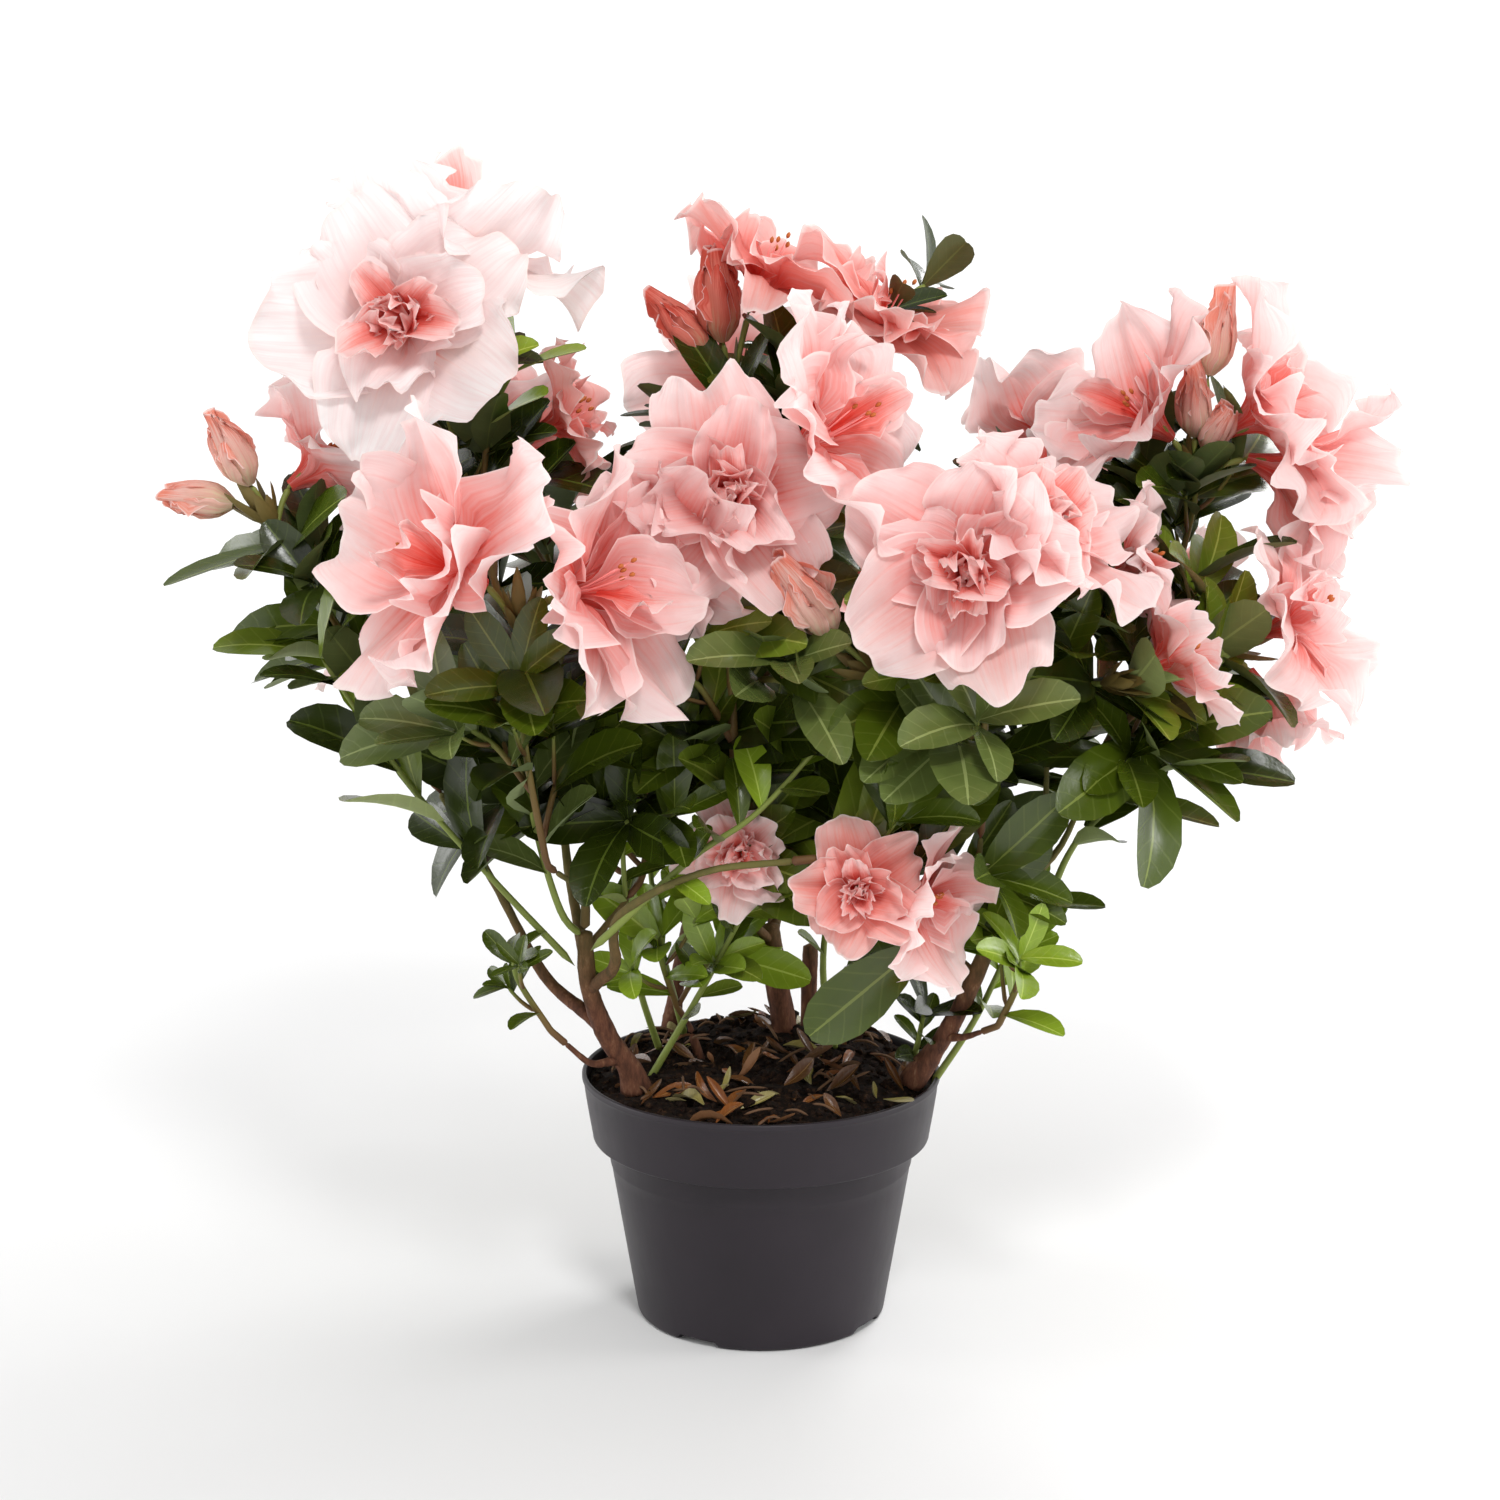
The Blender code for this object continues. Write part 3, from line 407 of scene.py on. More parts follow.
MASSES = {
    "far_left": Mass("stem_left", 0.42, [(-99, -27, 176), (-121, -23, 214)], [
        Shoot((-182, -12, 313), 6, 6, [
            Bloom("open", 108, 30, 0.8), Bloom("bud", -95, 8, 0.85), Bloom("bud", -50, 62, 0.9)]),
        Shoot((-156, 10, 264), 3, 4),
    ]),
    "left_top": Mass("stem_left", 0.78, [(-80, 0, 215), (-97, 12, 270)], [
        Shoot((-122, 0, 371), 4, 6, [
            Bloom("double", -8, 16, 1.08, "white"), Bloom("open", 120, 66, 1.2, "white")]),
        Shoot((-96, 22, 336), 1, 4, [Bloom("open", 95, 20, 0.7, "coral")]),
        Shoot((-92, 5, 372), 1, 4, leaf_share=0.7, tint="lime"),
    ]),
    "left_front": Mass("stem_left", 1.0, [(-75, -64, 193)], [
        Shoot((-84, -96, 287), 4, 6, [Bloom("open", -56, 28, 1.15), Bloom("open", 62, 14, 1.05)]),
        Shoot((-66, -50, 240), 2, 4, [Bloom("bud", 20, 70, 0.8)]),
        Shoot((-104, -82, 250), 2, 4, tint="sage"),
    ]),
    "centre_front": Mass("stem_centre", 1.0, [(-4, -15, 185), (-9, -45, 222)], [
        Shoot((-12, -56, 316), 4, 6, [
            Bloom("double", 0, 14, 0.92), Bloom("open", 66, 26, 1.12, "pink", 34),
            Bloom("open", -45, -22, 0.8)]),
        Shoot((-34, -62, 270), 2, 5),
        Shoot((16, -72, 262), 2, 4, tint="sage"),
    ]),
    "top_centre": Mass("stem_centre", 0.86, [(4, 34, 200), (-2, 34, 275)], [
        Shoot((-12, 30, 357), 4, 6, [
            Bloom("open", 85, 63, 1.0, "coral", 34), Bloom("bud", -30, 78, 1.1, "coral"),
            Bloom("bud", -84, 48, 0.95, "coral")]),
        Shoot((26, 36, 356), 2, 5, [Bloom("open", 62, 54, 0.88, "coral", 30)]),
        Shoot((66, 56, 400), 2, 4, leaf_share=0.6, tint="dark"),
    ]),
    "right_front": Mass("stem_right", 0.74, [(80, -58, 205)], [
        Shoot((79, -76, 296), 4, 6, [
            Bloom("double", -16, 8, 0.94), Bloom("double", 55, 44, 0.92), Bloom("bud", 10, 76, 0.6)]),
        Shoot((41, -72, 266), 2, 5, [Bloom("bud", -50, 50, 1.25)]),
        Shoot((66, -84, 246), 2, 4, tint="sage"),
    ]),
    "right_mid": Mass("stem_right", 1.0, [(106, -38, 236)], [
        Shoot((114, -36, 290), 4, 6, [Bloom("open", 75, 12, 0.7)]),
        Shoot((124, -60, 262), 2, 4, [Bloom("open", 100, 20, 0.7)]),
    ]),
    "right_top": Mass("stem_right", 0.85, [(134, 0, 232), (156, 14, 282)], [
        Shoot((166, 20, 327), 4, 6, [
            Bloom("open", -72, 34, 0.95), Bloom("open", 72, 34, 1.05), Bloom("half", 80, -18, 1.05),
            Bloom("bud", -20, 74, 0.85), Bloom("bud", 40, 56, 0.65), Bloom("bud", 60, 80, 1.0, "pink", 40)]),
        Shoot((138, 26, 316), 2, 5),
    ]),
    "right_low": Mass("stem_right", 0.93, [(126, -26, 226)], [
        Shoot((172, -14, 266), 5, 6, [Bloom("open", 66, 22, 0.88), Bloom("half", 78, -66, 0.7)]),
        Shoot((142, -42, 234), 2, 5),
        Shoot((158, -4, 288), 2, 5),
    ]),
    "low_front": Mass("stem_left", 0.66, [(-52, -62, 176), (-22, -78, 196), (12, -84, 202)], [
        Shoot((37, -74, 196), 2, 6, [
            Bloom("double", -4, 12, 0.52, "coral"), Bloom("open", 58, -12, 0.68)]),
        Shoot((60, -62, 164), 1, 4),
    ]),
    "low_centre": Mass("stem_centre", 0.86, [(-12, -14, 176)], [
        Shoot((-16, -38, 240), 5, 6),
        Shoot((-6, -40, 196), 1, 4, [Bloom("double", -20, 6, 0.48)]),
        Shoot((20, -30, 226), 3, 5),
    ]),
    "low_left": Mass("stem_left", 0.88, [(-50, -26, 174)], [
        Shoot((-44, -18, 240), 5, 6),
        Shoot((-80, -22, 204), 2, 4),
        Shoot((-50, -52, 208), 2, 4),
        Shoot((-98, -36, 212), 3, 5),
    ], 42),
    "low_right": Mass("stem_right", 0.55, [(62, -26, 162)], [
        Shoot((52, -34, 236), 5, 6),
        Shoot((84, -60, 190), 2, 4, leaf_share=0.75, tint="deep"),
    ]),
    "right_shoots": Mass("stem_right", 0.25, [(84, -36, 124)], [
        Shoot((93, -40, 160), 4, 5),
    ], 32),
    "left_shoots": Mass("stem_left", 0.2, [(-74, -44, 122)], [
        Shoot((-92, -50, 158), 2, 4, leaf_share=0.6, tint="deep"),
    ], 30),
    "young_shoots": Mass("stem_young", 1.0, [(-30, -4, 120)], [
        Shoot((-38, -22, 158), 3, 5),
        Shoot((-12, -8, 148), 2, 4),
    ], 32),
    "back_left": Mass("stem_back_left", 0.95, [(-58, 62, 214), (-76, 84, 252)], [
        Shoot((-92, 104, 306), 4, 6, [Bloom("double", -150, 36, 1.0)]),
        Shoot((-126, 70, 270), 3, 5, [Bloom("open", -110, 20, 0.85)]),
    ]),
    "back_centre": Mass("stem_back_left", 1.0, [(-18, 62, 216), (-14, 84, 258)], [
        Shoot((-10, 104, 322), 4, 6, [Bloom("open", 170, 40, 1.05)]),
        Shoot((26, 120, 280), 3, 5, [Bloom("open", 165, 0, 0.8)]),
    ]),
    "back_right": Mass("stem_back_right", 1.0, [(72, 64, 206), (90, 80, 248)], [
        Shoot((106, 96, 306), 4, 6, [Bloom("double", 145, 36, 1.0)]),
        Shoot((140, 64, 268), 3, 5, [Bloom("open", 110, 6, 0.85)]),
    ]),
    "low_back": Mass("stem_back_right", 0.8, [(30, 62, 172)], [
        Shoot((20, 84, 222), 4, 6),
        Shoot((-16, 80, 196), 3, 4),
    ]),
    "low_back_left": Mass("stem_back_left", 0.6, [(-56, 50, 164)], [
        Shoot((-88, 48, 222), 5, 6),
    ]),
    "low_back_right": Mass("stem_back_right", 0.6, [(72, 44, 164)], [
        Shoot((104, 40, 218), 5, 6),
    ]),
}


def place(point):
    return Vector(point) * MM


def smooth_path(points, steps):
    """Points along the curve that runs smoothly through the given ones."""
    ends = [2 * points[0] - points[1], *points, 2 * points[-1] - points[-2]]
    path = []
    for before, start, stop, after in zip(ends, ends[1:], ends[2:], ends[3:]):
        for step in range(steps):
            t = step / steps
            path.append(0.5 * (
                2 * start
                + (stop - before) * t
                + (2 * before - 5 * start + 4 * stop - after) * t**2
                + (3 * start - before - 3 * stop + after) * t**3))
    return [*path, points[-1]]


def path_length(path):
    return sum((b - a).length for a, b in zip(path, path[1:]))


def along_path(path, share):
    """The point and the direction at a share of a path's length."""
    lengths = [(b - a).length for a, b in zip(path, path[1:])]
    left = share * sum(lengths)
    for start, stop, length in zip(path, path[1:], lengths):
        if left <= length or stop is path[-1]:
            return start.lerp(stop, min(left / length, 1)), (stop - start).normalized()
        left -= length


def rolled(sheet, path, radius_at, relief=None):
    """A sheet rolled round a line, closed to a point at both its ends."""
    rows = np.unique(sheet.v)
    centres, sides, leans = [], [], []
    side = None
    for share in rows:
        centre, direction = along_path(path, float(share))
        if side is None:
            side = direction.orthogonal()
        side = (side - side.dot(direction) * direction).normalized()
        centres.append(centre)
        sides.append(side.copy())
        leans.append(direction.cross(side))
    row = np.searchsorted(rows, sheet.v)
    centres, sides, leans = (np.array(values)[row] for values in (centres, sides, leans))
    turn = math.pi * sheet.u[:, None]
    around = np.cos(turn) * sides + np.sin(turn) * leans
    radii = radius_at(sheet.v)
    radii[(sheet.v < 1e-6) | (sheet.v > 1 - 1e-6)] = 0
    points = centres + radii[:, None] * around
    if relief:
        push = np.array([relief(Vector(point)) for point in points])
        points += (radii * push)[:, None] * around
    return sheet, points


STEM_SEAT = 95.3 * MM
CROTCH_ANGLE = math.radians(48)
JOINT_GAP = 0.3 * MM


def stem_path(stem):
    """A stem's line, from a little under the soil's top."""
    first = place(stem.points[0])
    ground = Vector((first.x, first.y, STEM_SEAT))
    ground.xy -= (place(stem.points[1]) - first).xy * 0.25
    return [ground, *smooth_path([ground + 1.5 * MM * UP, *map(place, stem.points)], 6)]


def stem_radius(stem, share):
    """A stem's radius, with the flare of its foot."""
    straight = (stem.foot_radius + (stem.tip_radius - stem.foot_radius) * share) * MM
    return straight * (1 + 0.4 * np.maximum(0, 1 - share / 0.2))


def bough_path(mass, stems):
    """A bough's line from its seat on the stem, and its root radius."""
    stem = STEMS[mass.carrier]
    root, direction = along_path(stems[mass.carrier], mass.along)
    carrier_radius = (stem.foot_radius + (stem.tip_radius - stem.foot_radius) * mass.along) * MM
    leaving = (place(mass.bends[0]) - root).normalized()
    if leaving.dot(direction) > math.cos(CROTCH_ANGLE):
        aside = (leaving - leaving.dot(direction) * direction).normalized()
        leaving = math.cos(CROTCH_ANGLE) * direction + math.sin(CROTCH_ANGLE) * aside
    root_radius = min(0.85 * carrier_radius, (1.5 + 0.9 * len(mass.bends)) * MM)
    clear = JOINT_GAP
    if mass.along == 1:
        leaving = direction
    else:
        cosine = abs(leaving.dot(direction))
        clear = (0.96 * (carrier_radius + root_radius * cosine) + JOINT_GAP) / math.sqrt(1 - cosine**2)
    start = root + leaving * clear
    onward = start + leaving * 0.4 * (place(mass.bends[0]) - start).length
    path = [root, *smooth_path([start, onward, *map(place, mass.bends)], 5)]
    return path, root_radius


def thinning(root_radius, share):
    """A bough's radius, which shrinks fast near its root and slowly after that."""
    return root_radius * (0.42 + 0.46 * (1 - share)**2)


def bark_relief(point):
    """How far the bark stands out, as a share of the limb's radius."""
    long_grain = noise.noise(Vector((point.x * 420, point.y * 420, point.z * 90)))
    knots = noise.noise(point * 95)
    flakes = noise.noise(point * 700)
    return 0.10 * long_grain + 0.10 * knots + 0.05 * flakes


def mixed_colour(tree, factor, first, second, blend="MIX"):
    return node(tree, "Mix", "Result", {"Factor": factor, "A": first, "B": second},
                data_type="RGBA", blend_type=blend)


def wrapped(columns, pitch, path, radius_at):
    """A limb in bark, with a row of faces at every pitch along it."""
    rows = max(8, round(path_length(path) / pitch))
    return rolled(flat_sheet(columns, rows), path, radius_at, bark_relief)


bark = plain_material("brown_bark", (0.16, 0.08, 0.05), 0.8, specular=0.25)
tree = bark.node_tree
grain = noise_texture(tree, object_place(tree, (1, 1, 0.3)), 330, detail=6, roughness=0.7)
patches = noise_texture(tree, object_place(tree), 60)
brown = colour_ramp(tree, grain, [(0.3, (46, 30, 24)), (0.55, (92, 58, 44)), (0.72, (134, 98, 74))])
tan = colour_ramp(tree, grain, [(0.3, (60, 38, 30)), (0.6, (112, 74, 54)), (0.75, (152, 118, 92))])
height = node(tree, "SeparateXYZ", "Z", {"Vector": object_place(tree)})
greening = remapped(tree, height, 0, 0.8, start=0.13, stop=0.2)
feed(bark, {
    "Base Color": mixed_colour(tree, greening, mixed_colour(tree, patches, brown, tan), linear(104, 104, 58)),
    "Normal": bumped(tree, grain, 0.6, 0.0006)})

stem_lines = {name: stem_path(stem) for name, stem in STEMS.items()}
bough_lines = {name: bough_path(mass, stem_lines) for name, mass in MASSES.items()}
limbs = []
for name, stem in STEMS.items():
    limbs.append(wrapped(18, 1.7 * MM, stem_lines[name], lambda share: stem_radius(stem, share)))
for path, radius in bough_lines.values():
    limbs.append(wrapped(12, 2 * MM, path, lambda share: thinning(radius, share)))
woody_limbs = joined("woody_limbs", limbs, bark)
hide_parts(*STEMS, *[f"bough_{name}" for name in MASSES])

# Twigs: each mass grows one twig on from its bough, forks others off it, and carries short side spurs.
# They are thin rolled sheets, brown where they are old and yellow-green towards their tips.
TWIG_TIP = 1.1 * MM
GOLDEN_ANGLE = math.radians(137.508)


def heading_vector(heading, rise):
    """A direction from its heading round the plant and its rise above the level, in degrees."""
    turn, lift = math.radians(heading), math.radians(rise)
    return Vector((math.sin(turn) * math.cos(lift), -math.cos(turn) * math.cos(lift), math.sin(lift)))


def across(direction):
    """Two unit vectors square to a direction: one level, and one that leans as far up as it can."""
    upward = Vector((0.6, -0.8, 0)) if abs(direction.normalized().z) > 0.98 else UP
    side = upward.cross(direction).normalized()
    return side, direction.cross(side).normalized()


def spoke(direction, turn):
    """A unit vector square to a direction, at a turn round it."""
    side, lean = across(direction)
    return math.cos(turn) * side + math.sin(turn) * lean


def taper(foot, tip):
    """A radius that runs evenly from foot to tip."""
    return lambda share: foot + (tip - foot) * share


def shoot_paths(mass, bough):
    """The mass's twigs: the first grows on from the bough, and the others fork from it."""
    ahead = (bough[-1] - bough[-2]).normalized()
    start = bough[-1] - 2 * MM * ahead
    onward = bough[-1] + 8 * MM * ahead
    tip = place(mass.shoots[0].tip)
    middle = onward.lerp(tip, 0.5) + (onward - bough[-1])
    main = [start, *smooth_path([onward, middle, tip], 6)]
    paths = [main]
    for number, shoot in enumerate(mass.shoots[1:]):
        fork, direction = along_path(main, 0.2 + 0.2 * number)
        tip = place(shoot.tip)
        bend = fork.lerp(tip, 0.5) + direction * 0.15 * (tip - fork).length
        paths.append(smooth_path([fork, bend, tip], 6))
    return paths


def spurs_of(name, shoot, path, number):
    """Short side twigs along a shoot, each with its own whorl of leaves."""
    dice = random.Random(f"{name} spur {number}")
    turn = dice.uniform(0, math.tau)
    count = 1 + shoot.leaves // 2
    for index in range(count):
        root, direction = along_path(path, 0.3 + 0.5 * (index + 0.5) / count)
        turn += GOLDEN_ANGLE
        leaving = (0.55 * direction + 0.8 * spoke(direction, turn) + 0.25 * UP).normalized()
        length = dice.uniform(14, 26) * MM
        tip = root + leaving * length + UP * 0.2 * length
        yield smooth_path([root, root + leaving * 0.5 * length, tip], 3)


def shared_map(tree):
    """The map that all copies of a sheet share, and its two ways, across and along."""
    shared = node(tree, "UVMap", "UV", {}, uv_map="OFBake")
    return shared, *(node(tree, "SeparateXYZ", way, {"Vector": shared}) for way in "XY")


twig_skin = plain_material("twig_skin", (0.2, 0.16, 0.06), 0.6, specular=0.3)
tree = twig_skin.node_tree
along_twig = shared_map(tree)[2]
feed(twig_skin, {"Base Color": colour_ramp(tree, along_twig, [
    (0.0, (98, 66, 46)), (0.45, (110, 92, 50)), (0.8, (112, 124, 58)), (1.0, (134, 146, 74))])})

twig_sheet = flat_sheet(8, 24)
spur_sheet = flat_sheet(5, 6)
shoots = []
spurs = []
twig_parts = []
for name, mass in MASSES.items():
    bough, bough_radius = bough_lines[name]
    for number, (shoot, path) in enumerate(zip(mass.shoots, shoot_paths(mass, bough))):
        root_radius = max(0.6 * bough_radius, 1.2 * TWIG_TIP) * (1 if number == 0 else 0.8)
        shoots.append((name, mass, number, shoot, path))
        twig_parts.append(rolled(twig_sheet, path, taper(root_radius, TWIG_TIP)))
        for spur in spurs_of(name, shoot, path, number):
            spurs.append((name, shoot, mass.leaf * shoot.leaf_share * MM, spur))
            twig_parts.append(rolled(spur_sheet, spur, taper(1.0 * MM, 0.65 * MM)))
twigs = joined("twigs", twig_parts, twig_skin)
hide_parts(*MASSES)

# Blooms: semi-double azalea flowers of thin silky petals, coral in the throat and pale at their ruffled
# margins. Five broad lobes flare out of a narrow tube, and the doubles hold a second ring and a knot
# of small crinkled petals. Each petal is a bent sheet with waves that grow towards its edge.
COROLLA = 50 * MM
BUD = 32 * MM
LOBES = 5
LINE_END = 1.08
LINE_STEPS = 40
outer_sheet = flat_sheet(22, 20)
inner_sheet = flat_sheet(12, 11)
PetalKind = namedtuple(
    "PetalKind", "sheet reach width angles fused waves cup twist straight root", defaults=(0.0, 0.75, 2.2))
BloomForm = namedtuple("BloomForm", "reach flare inner_lobes folds tilts")
BLOOM_FORMS = {
    "double": BloomForm(1.1, 74, 3, 10, (46, -8)),
    "open": BloomForm(1.16, 70, 1, 1, (30, 30)),
    "half": BloomForm(1.16, 34, 1, 0, (0, 0)),
}


def smooth_step(value):
    value = np.clip(value, 0, 1)
    return value * value * (3 - 2 * value)


def run_along(steps):
    """The way covered from the start of a line, as the sum of its steps."""
    return np.concatenate([[0], np.cumsum(steps[1:])]) * LINE_END / LINE_STEPS


def petal(kind, base, axis, turn, dice):
    """A petal's sheet and points. Its angles are those of its tube, its flare and its turned-back tip."""
    side, lean = across(axis)
    u, v = kind.sheet.u, kind.sheet.v
    reach = kind.reach * dice.uniform(0.88, 1.1)
    width = kind.width * dice.uniform(0.9, 1.14)
    tube, flare, reflex = (math.radians(angle) for angle in kind.angles)
    loose = 1 if kind.straight else 0.2
    flare += math.radians(dice.uniform(-18, 14) * loose)
    reflex += math.radians(dice.uniform(-40, 36) * loose)
    steps = np.linspace(0, LINE_END, LINE_STEPS + 1)
    slope = tube + (flare - tube) * smooth_step((steps - 0.08) / 0.34)
    slope += reflex * smooth_step((steps - 0.55) / 0.45)
    out = kind.root * MM + reach * run_along(np.sin(slope))
    along = reach * run_along(np.cos(slope))

    upper = np.clip(2 * v - 1, 0, 1)
    edge = np.maximum(np.abs(u)**2.4, upper**1.7) * smooth_step((v - 0.15) / 0.35)
    phases = [dice.uniform(0, math.tau) for _ in range(6)]
    share = np.where(v < 0.5, 1.1 * v, 0.55 + 0.45 * upper * np.sqrt(1 - 0.5 * u**2))
    half = width * np.sqrt(1 - 0.5 * upper**2)
    rim = np.arctan2(u * half, (share - 0.45) * reach)
    scallops = 0.035 * np.sin(4.4 * rim + phases[3]) + 0.014 * np.sin(9 * rim + phases[0])
    nicks = 0.008 * np.sin(21 * rim + phases[1])
    share = np.clip(share * (1 + edge * scallops) * (1 + edge**2 * nicks), 0, LINE_END)
    radius, height, slope = (np.interp(share, steps, values) for values in (out, along, slope))
    if kind.fused:
        room = 1.25 * math.pi / kind.fused * radius
        half = np.minimum(half, room * (1 + 1.2 * smooth_step((v - 0.14) / 0.3)))
    else:
        half = half * (0.3 + 0.7 * smooth_step(v / 0.5))
    half = half * (1 + 0.04 * edge * np.sin(6 * rim + phases[2]))

    coarse, fine = kind.waves
    pleats = reach * smooth_step(v / 0.5)
    folds = (
        (coarse * edge, (2.8, 4.8), rim, phases[3]), (0.65 * coarse * edge**1.5, (6.5, 10), rim, phases[4]),
        (fine * edge**2.4, (13, 18), rim, phases[5]), (0.024 * pleats, (6, 9), u, phases[0]),
        (0.010 * pleats, (13, 17), u, phases[1]))
    lift = sum(depth * np.sin(dice.uniform(*pace) * way + phase) for depth, pace, way, phase in folds)
    lift += (kind.cup + dice.uniform(-0.16, 0.2) * loose) * u**2 * half
    lift += (kind.twist + dice.uniform(-0.2, 0.2) * loose) * u * half * np.minimum(1, 2 * v)
    lift -= 0.03 * reach * np.exp(-(u / 0.25)**2) * smooth_step(v / 0.4)
    bend = -u * half / radius
    flat = kind.straight * (smooth_step((v - 0.2) / 0.4) if kind.fused else 1)
    sway = dice.uniform(-0.1, 0.1) * loose * reach * share**2
    x = radius * (np.cos(bend) * (1 - flat) + flat) - lift * np.cos(slope)
    y = radius * np.sin(bend) * (1 - flat) - flat * u * half + sway
    z = height + lift * np.sin(slope)
    cosine, sine = math.cos(turn), math.sin(turn)
    x, y = x * cosine - y * sine, x * sine + y * cosine
    points = np.array(base) + np.outer(x, side) + np.outer(y, lean) + np.outer(z, axis)
    points[:, 2] -= 0.04 * reach * share**2
    return kind.sheet, points


def ring_of_petals(kind, base, axis, start, count, dice):
    """Petals evenly round a bloom, each a little unlike the others."""
    turns = [start + math.tau * index / count + dice.uniform(-0.1, 0.1) for index in range(count)]
    return [petal(kind, base, axis, turn, dice) for turn in turns]


def open_bloom(base, axis, bloom, dice):
    """The broad lobes of one bloom, and the crinkled petals of its heart."""
    form = BLOOM_FORMS[bloom.kind]
    length = COROLLA * bloom.size
    start = dice.uniform(0, math.tau)
    waves = (5.8 * MM * bloom.size, 1.6 * MM * bloom.size)
    crinkles = (3.6 * MM * bloom.size, 1.7 * MM * bloom.size)
    lobe = PetalKind(
        outer_sheet, form.reach * length, 0.5 * length, (16, form.flare, 6), LOBES, waves, 0.04)
    inner_lobe = PetalKind(
        outer_sheet, 0.78 * form.reach * length, 0.34 * length, (12, form.flare - 18, 4), LOBES, waves, 0.2)
    lobes = ring_of_petals(lobe, base, axis, start, LOBES, dice)
    lobes += ring_of_petals(
        inner_lobe, base + 3 * MM * axis, axis, start + math.pi / LOBES, form.inner_lobes, dice)
    heart = []
    for number in range(form.folds):
        done = number / max(1, form.folds - 1)
        tilt = form.tilts[0] + (form.tilts[1] - form.tilts[0]) * done + dice.uniform(-16, 16)
        reach = (0.56 - 0.16 * done) * length * dice.uniform(0.8, 1.2)
        folded = PetalKind(
            inner_sheet, reach, dice.uniform(0.13, 0.2) * length, (16, tilt, 24 - 64 * done), 0, crinkles,
            dice.uniform(-0.5, 0.9), dice.uniform(-0.7, 0.7), 0.75, 2.2 - 1.8 * done)
        turn = start + GOLDEN_ANGLE * number + dice.uniform(-0.5, 0.5)
        heart.append(petal(folded, base + 0.3 * length * axis, axis, turn, dice))
    return lobes, heart


def closed_bud(base, axis, size, dice):
    """A furled bud: five petals wrapped over one another round a full spindle, and three within them."""
    length = BUD * size
    waves = (1.0 * MM * size, 0.6 * MM * size)
    start = dice.uniform(0, math.tau)
    outer = PetalKind(inner_sheet, length, 0.32 * length, (36, -6, -22), 4, waves, 0, 0.5, 0)
    inner = PetalKind(inner_sheet, length, 0.26 * length, (24, -6, -8), 3, waves, 0, 0.4, 0)
    return (ring_of_petals(outer, base, axis, start, LOBES, dice)
            + ring_of_petals(inner, base + 0.1 * length * axis, axis, start + 0.5, 3, dice))


def maths(tree, operation, *values):
    return node(tree, "Math", "Value", dict(enumerate(values)), operation=operation)


def petal_material(name, throat, middle, pale, margin, vein=(251, 241, 241)):
    """Silky petal skin: its tone runs from throat to margin, with darker veins that fan out, and a painted
    highlight along its rim.
    """
    made = plain_material(name, linear(*middle), 0.55, specular=0.2)
    tree = made.node_tree
    shared, across_petal, along_petal = shared_map(tree)
    off_middle = maths(tree, "ABSOLUTE", maths(tree, "MULTIPLY_ADD", across_petal, 2.0, -1.0))
    veins = noise_texture(tree, stretched(tree, shared, (34, 1.5, 1)), 1.0, detail=3, roughness=0.55)
    cloud = noise_texture(tree, shared, 5.0, detail=3)
    tone = maths(tree, "MULTIPLY", along_petal, 0.9)
    for value, weight in ((maths(tree, "POWER", off_middle, 1.6), 0.3),
                          (maths(tree, "SUBTRACT", cloud, 0.5), 0.28),
                          (maths(tree, "SUBTRACT", veins, 0.5), 0.9)):
        tone = maths(tree, "MULTIPLY_ADD", value, weight, tone)
    tones = colour_ramp(tree, tone, [(0.12, throat), (0.34, middle), (0.62, pale), (0.92, margin)])
    streaks = colour_ramp(tree, veins, [(0.42, (255, 255, 255)), (0.6, vein)])
    # A thin near-white line along the petal's rim is a painted highlight.
    rim_highlight = remapped(tree, maths(tree, "MAXIMUM", off_middle, along_petal), 0, 0.7, 0.955, 0.985)
    streaked = mixed_colour(tree, 1, tones, streaks, blend="MULTIPLY")
    colour = mixed_colour(tree, rim_highlight, streaked, linear(255, 240, 236))
    feed(made, {"Base Color": colour, "Normal": bumped(tree, veins, 0.5, 0.0008)})
    glow = node(tree, "BsdfTranslucent", "BSDF", {"Color": colour})
    skin = node(tree, "MixShader", "Shader", {
        "Fac": 0.35, 1: tree.nodes["Principled BSDF"].outputs["BSDF"], 2: glow})
    tree.links.new(skin, tree.nodes["Material Output"].inputs["Surface"])
    return made


PETAL_TONES = {
    "pink": ((233, 92, 80), (242, 152, 144), (249, 202, 198), (254, 233, 231)),
    "white": ((243, 150, 137), (251, 224, 220), (253, 243, 242), (255, 251, 250)),
    "coral": ((227, 86, 73), (238, 129, 117), (245, 164, 155), (251, 203, 197)),
    "heart": ((228, 78, 66), (239, 116, 104), (246, 164, 156), (253, 218, 214)),
}
BUD_TONES = {
    "pink": ((238, 220, 186), (246, 208, 190), (248, 206, 194), (240, 158, 138)),
    "coral": ((226, 180, 146), (234, 142, 122), (236, 140, 124), (214, 96, 80)),
}
BUD_VEIN = (250, 233, 229)
petals = {tone: [] for tone in PETAL_TONES}
bud_parts = {tone: [] for tone in BUD_TONES}
stalks = []
flowers = []
for name, mass, number, shoot, path in shoots:
    dice = random.Random(f"{name} bloom {number}")
    tip, direction = path[-1], (path[-1] - path[-2]).normalized()
    for bloom in shoot.blooms:
        axis = heading_vector(bloom.heading, bloom.rise)
        base = tip + bloom.stalk * MM * bloom.size * (0.7 * direction + axis).normalized()
        stalks.append(smooth_path([tip - 2 * MM * direction, tip.lerp(base, 0.5) + MM * UP, base], 4))
        flowers.append((bloom, base, axis))
        if bloom.kind == "bud":
            bud_parts[bloom.tone] += closed_bud(base, axis, bloom.size, dice)
        else:
            lobes, heart = open_bloom(base, axis, bloom, dice)
            petals[bloom.tone] += lobes
            petals["heart"] += heart
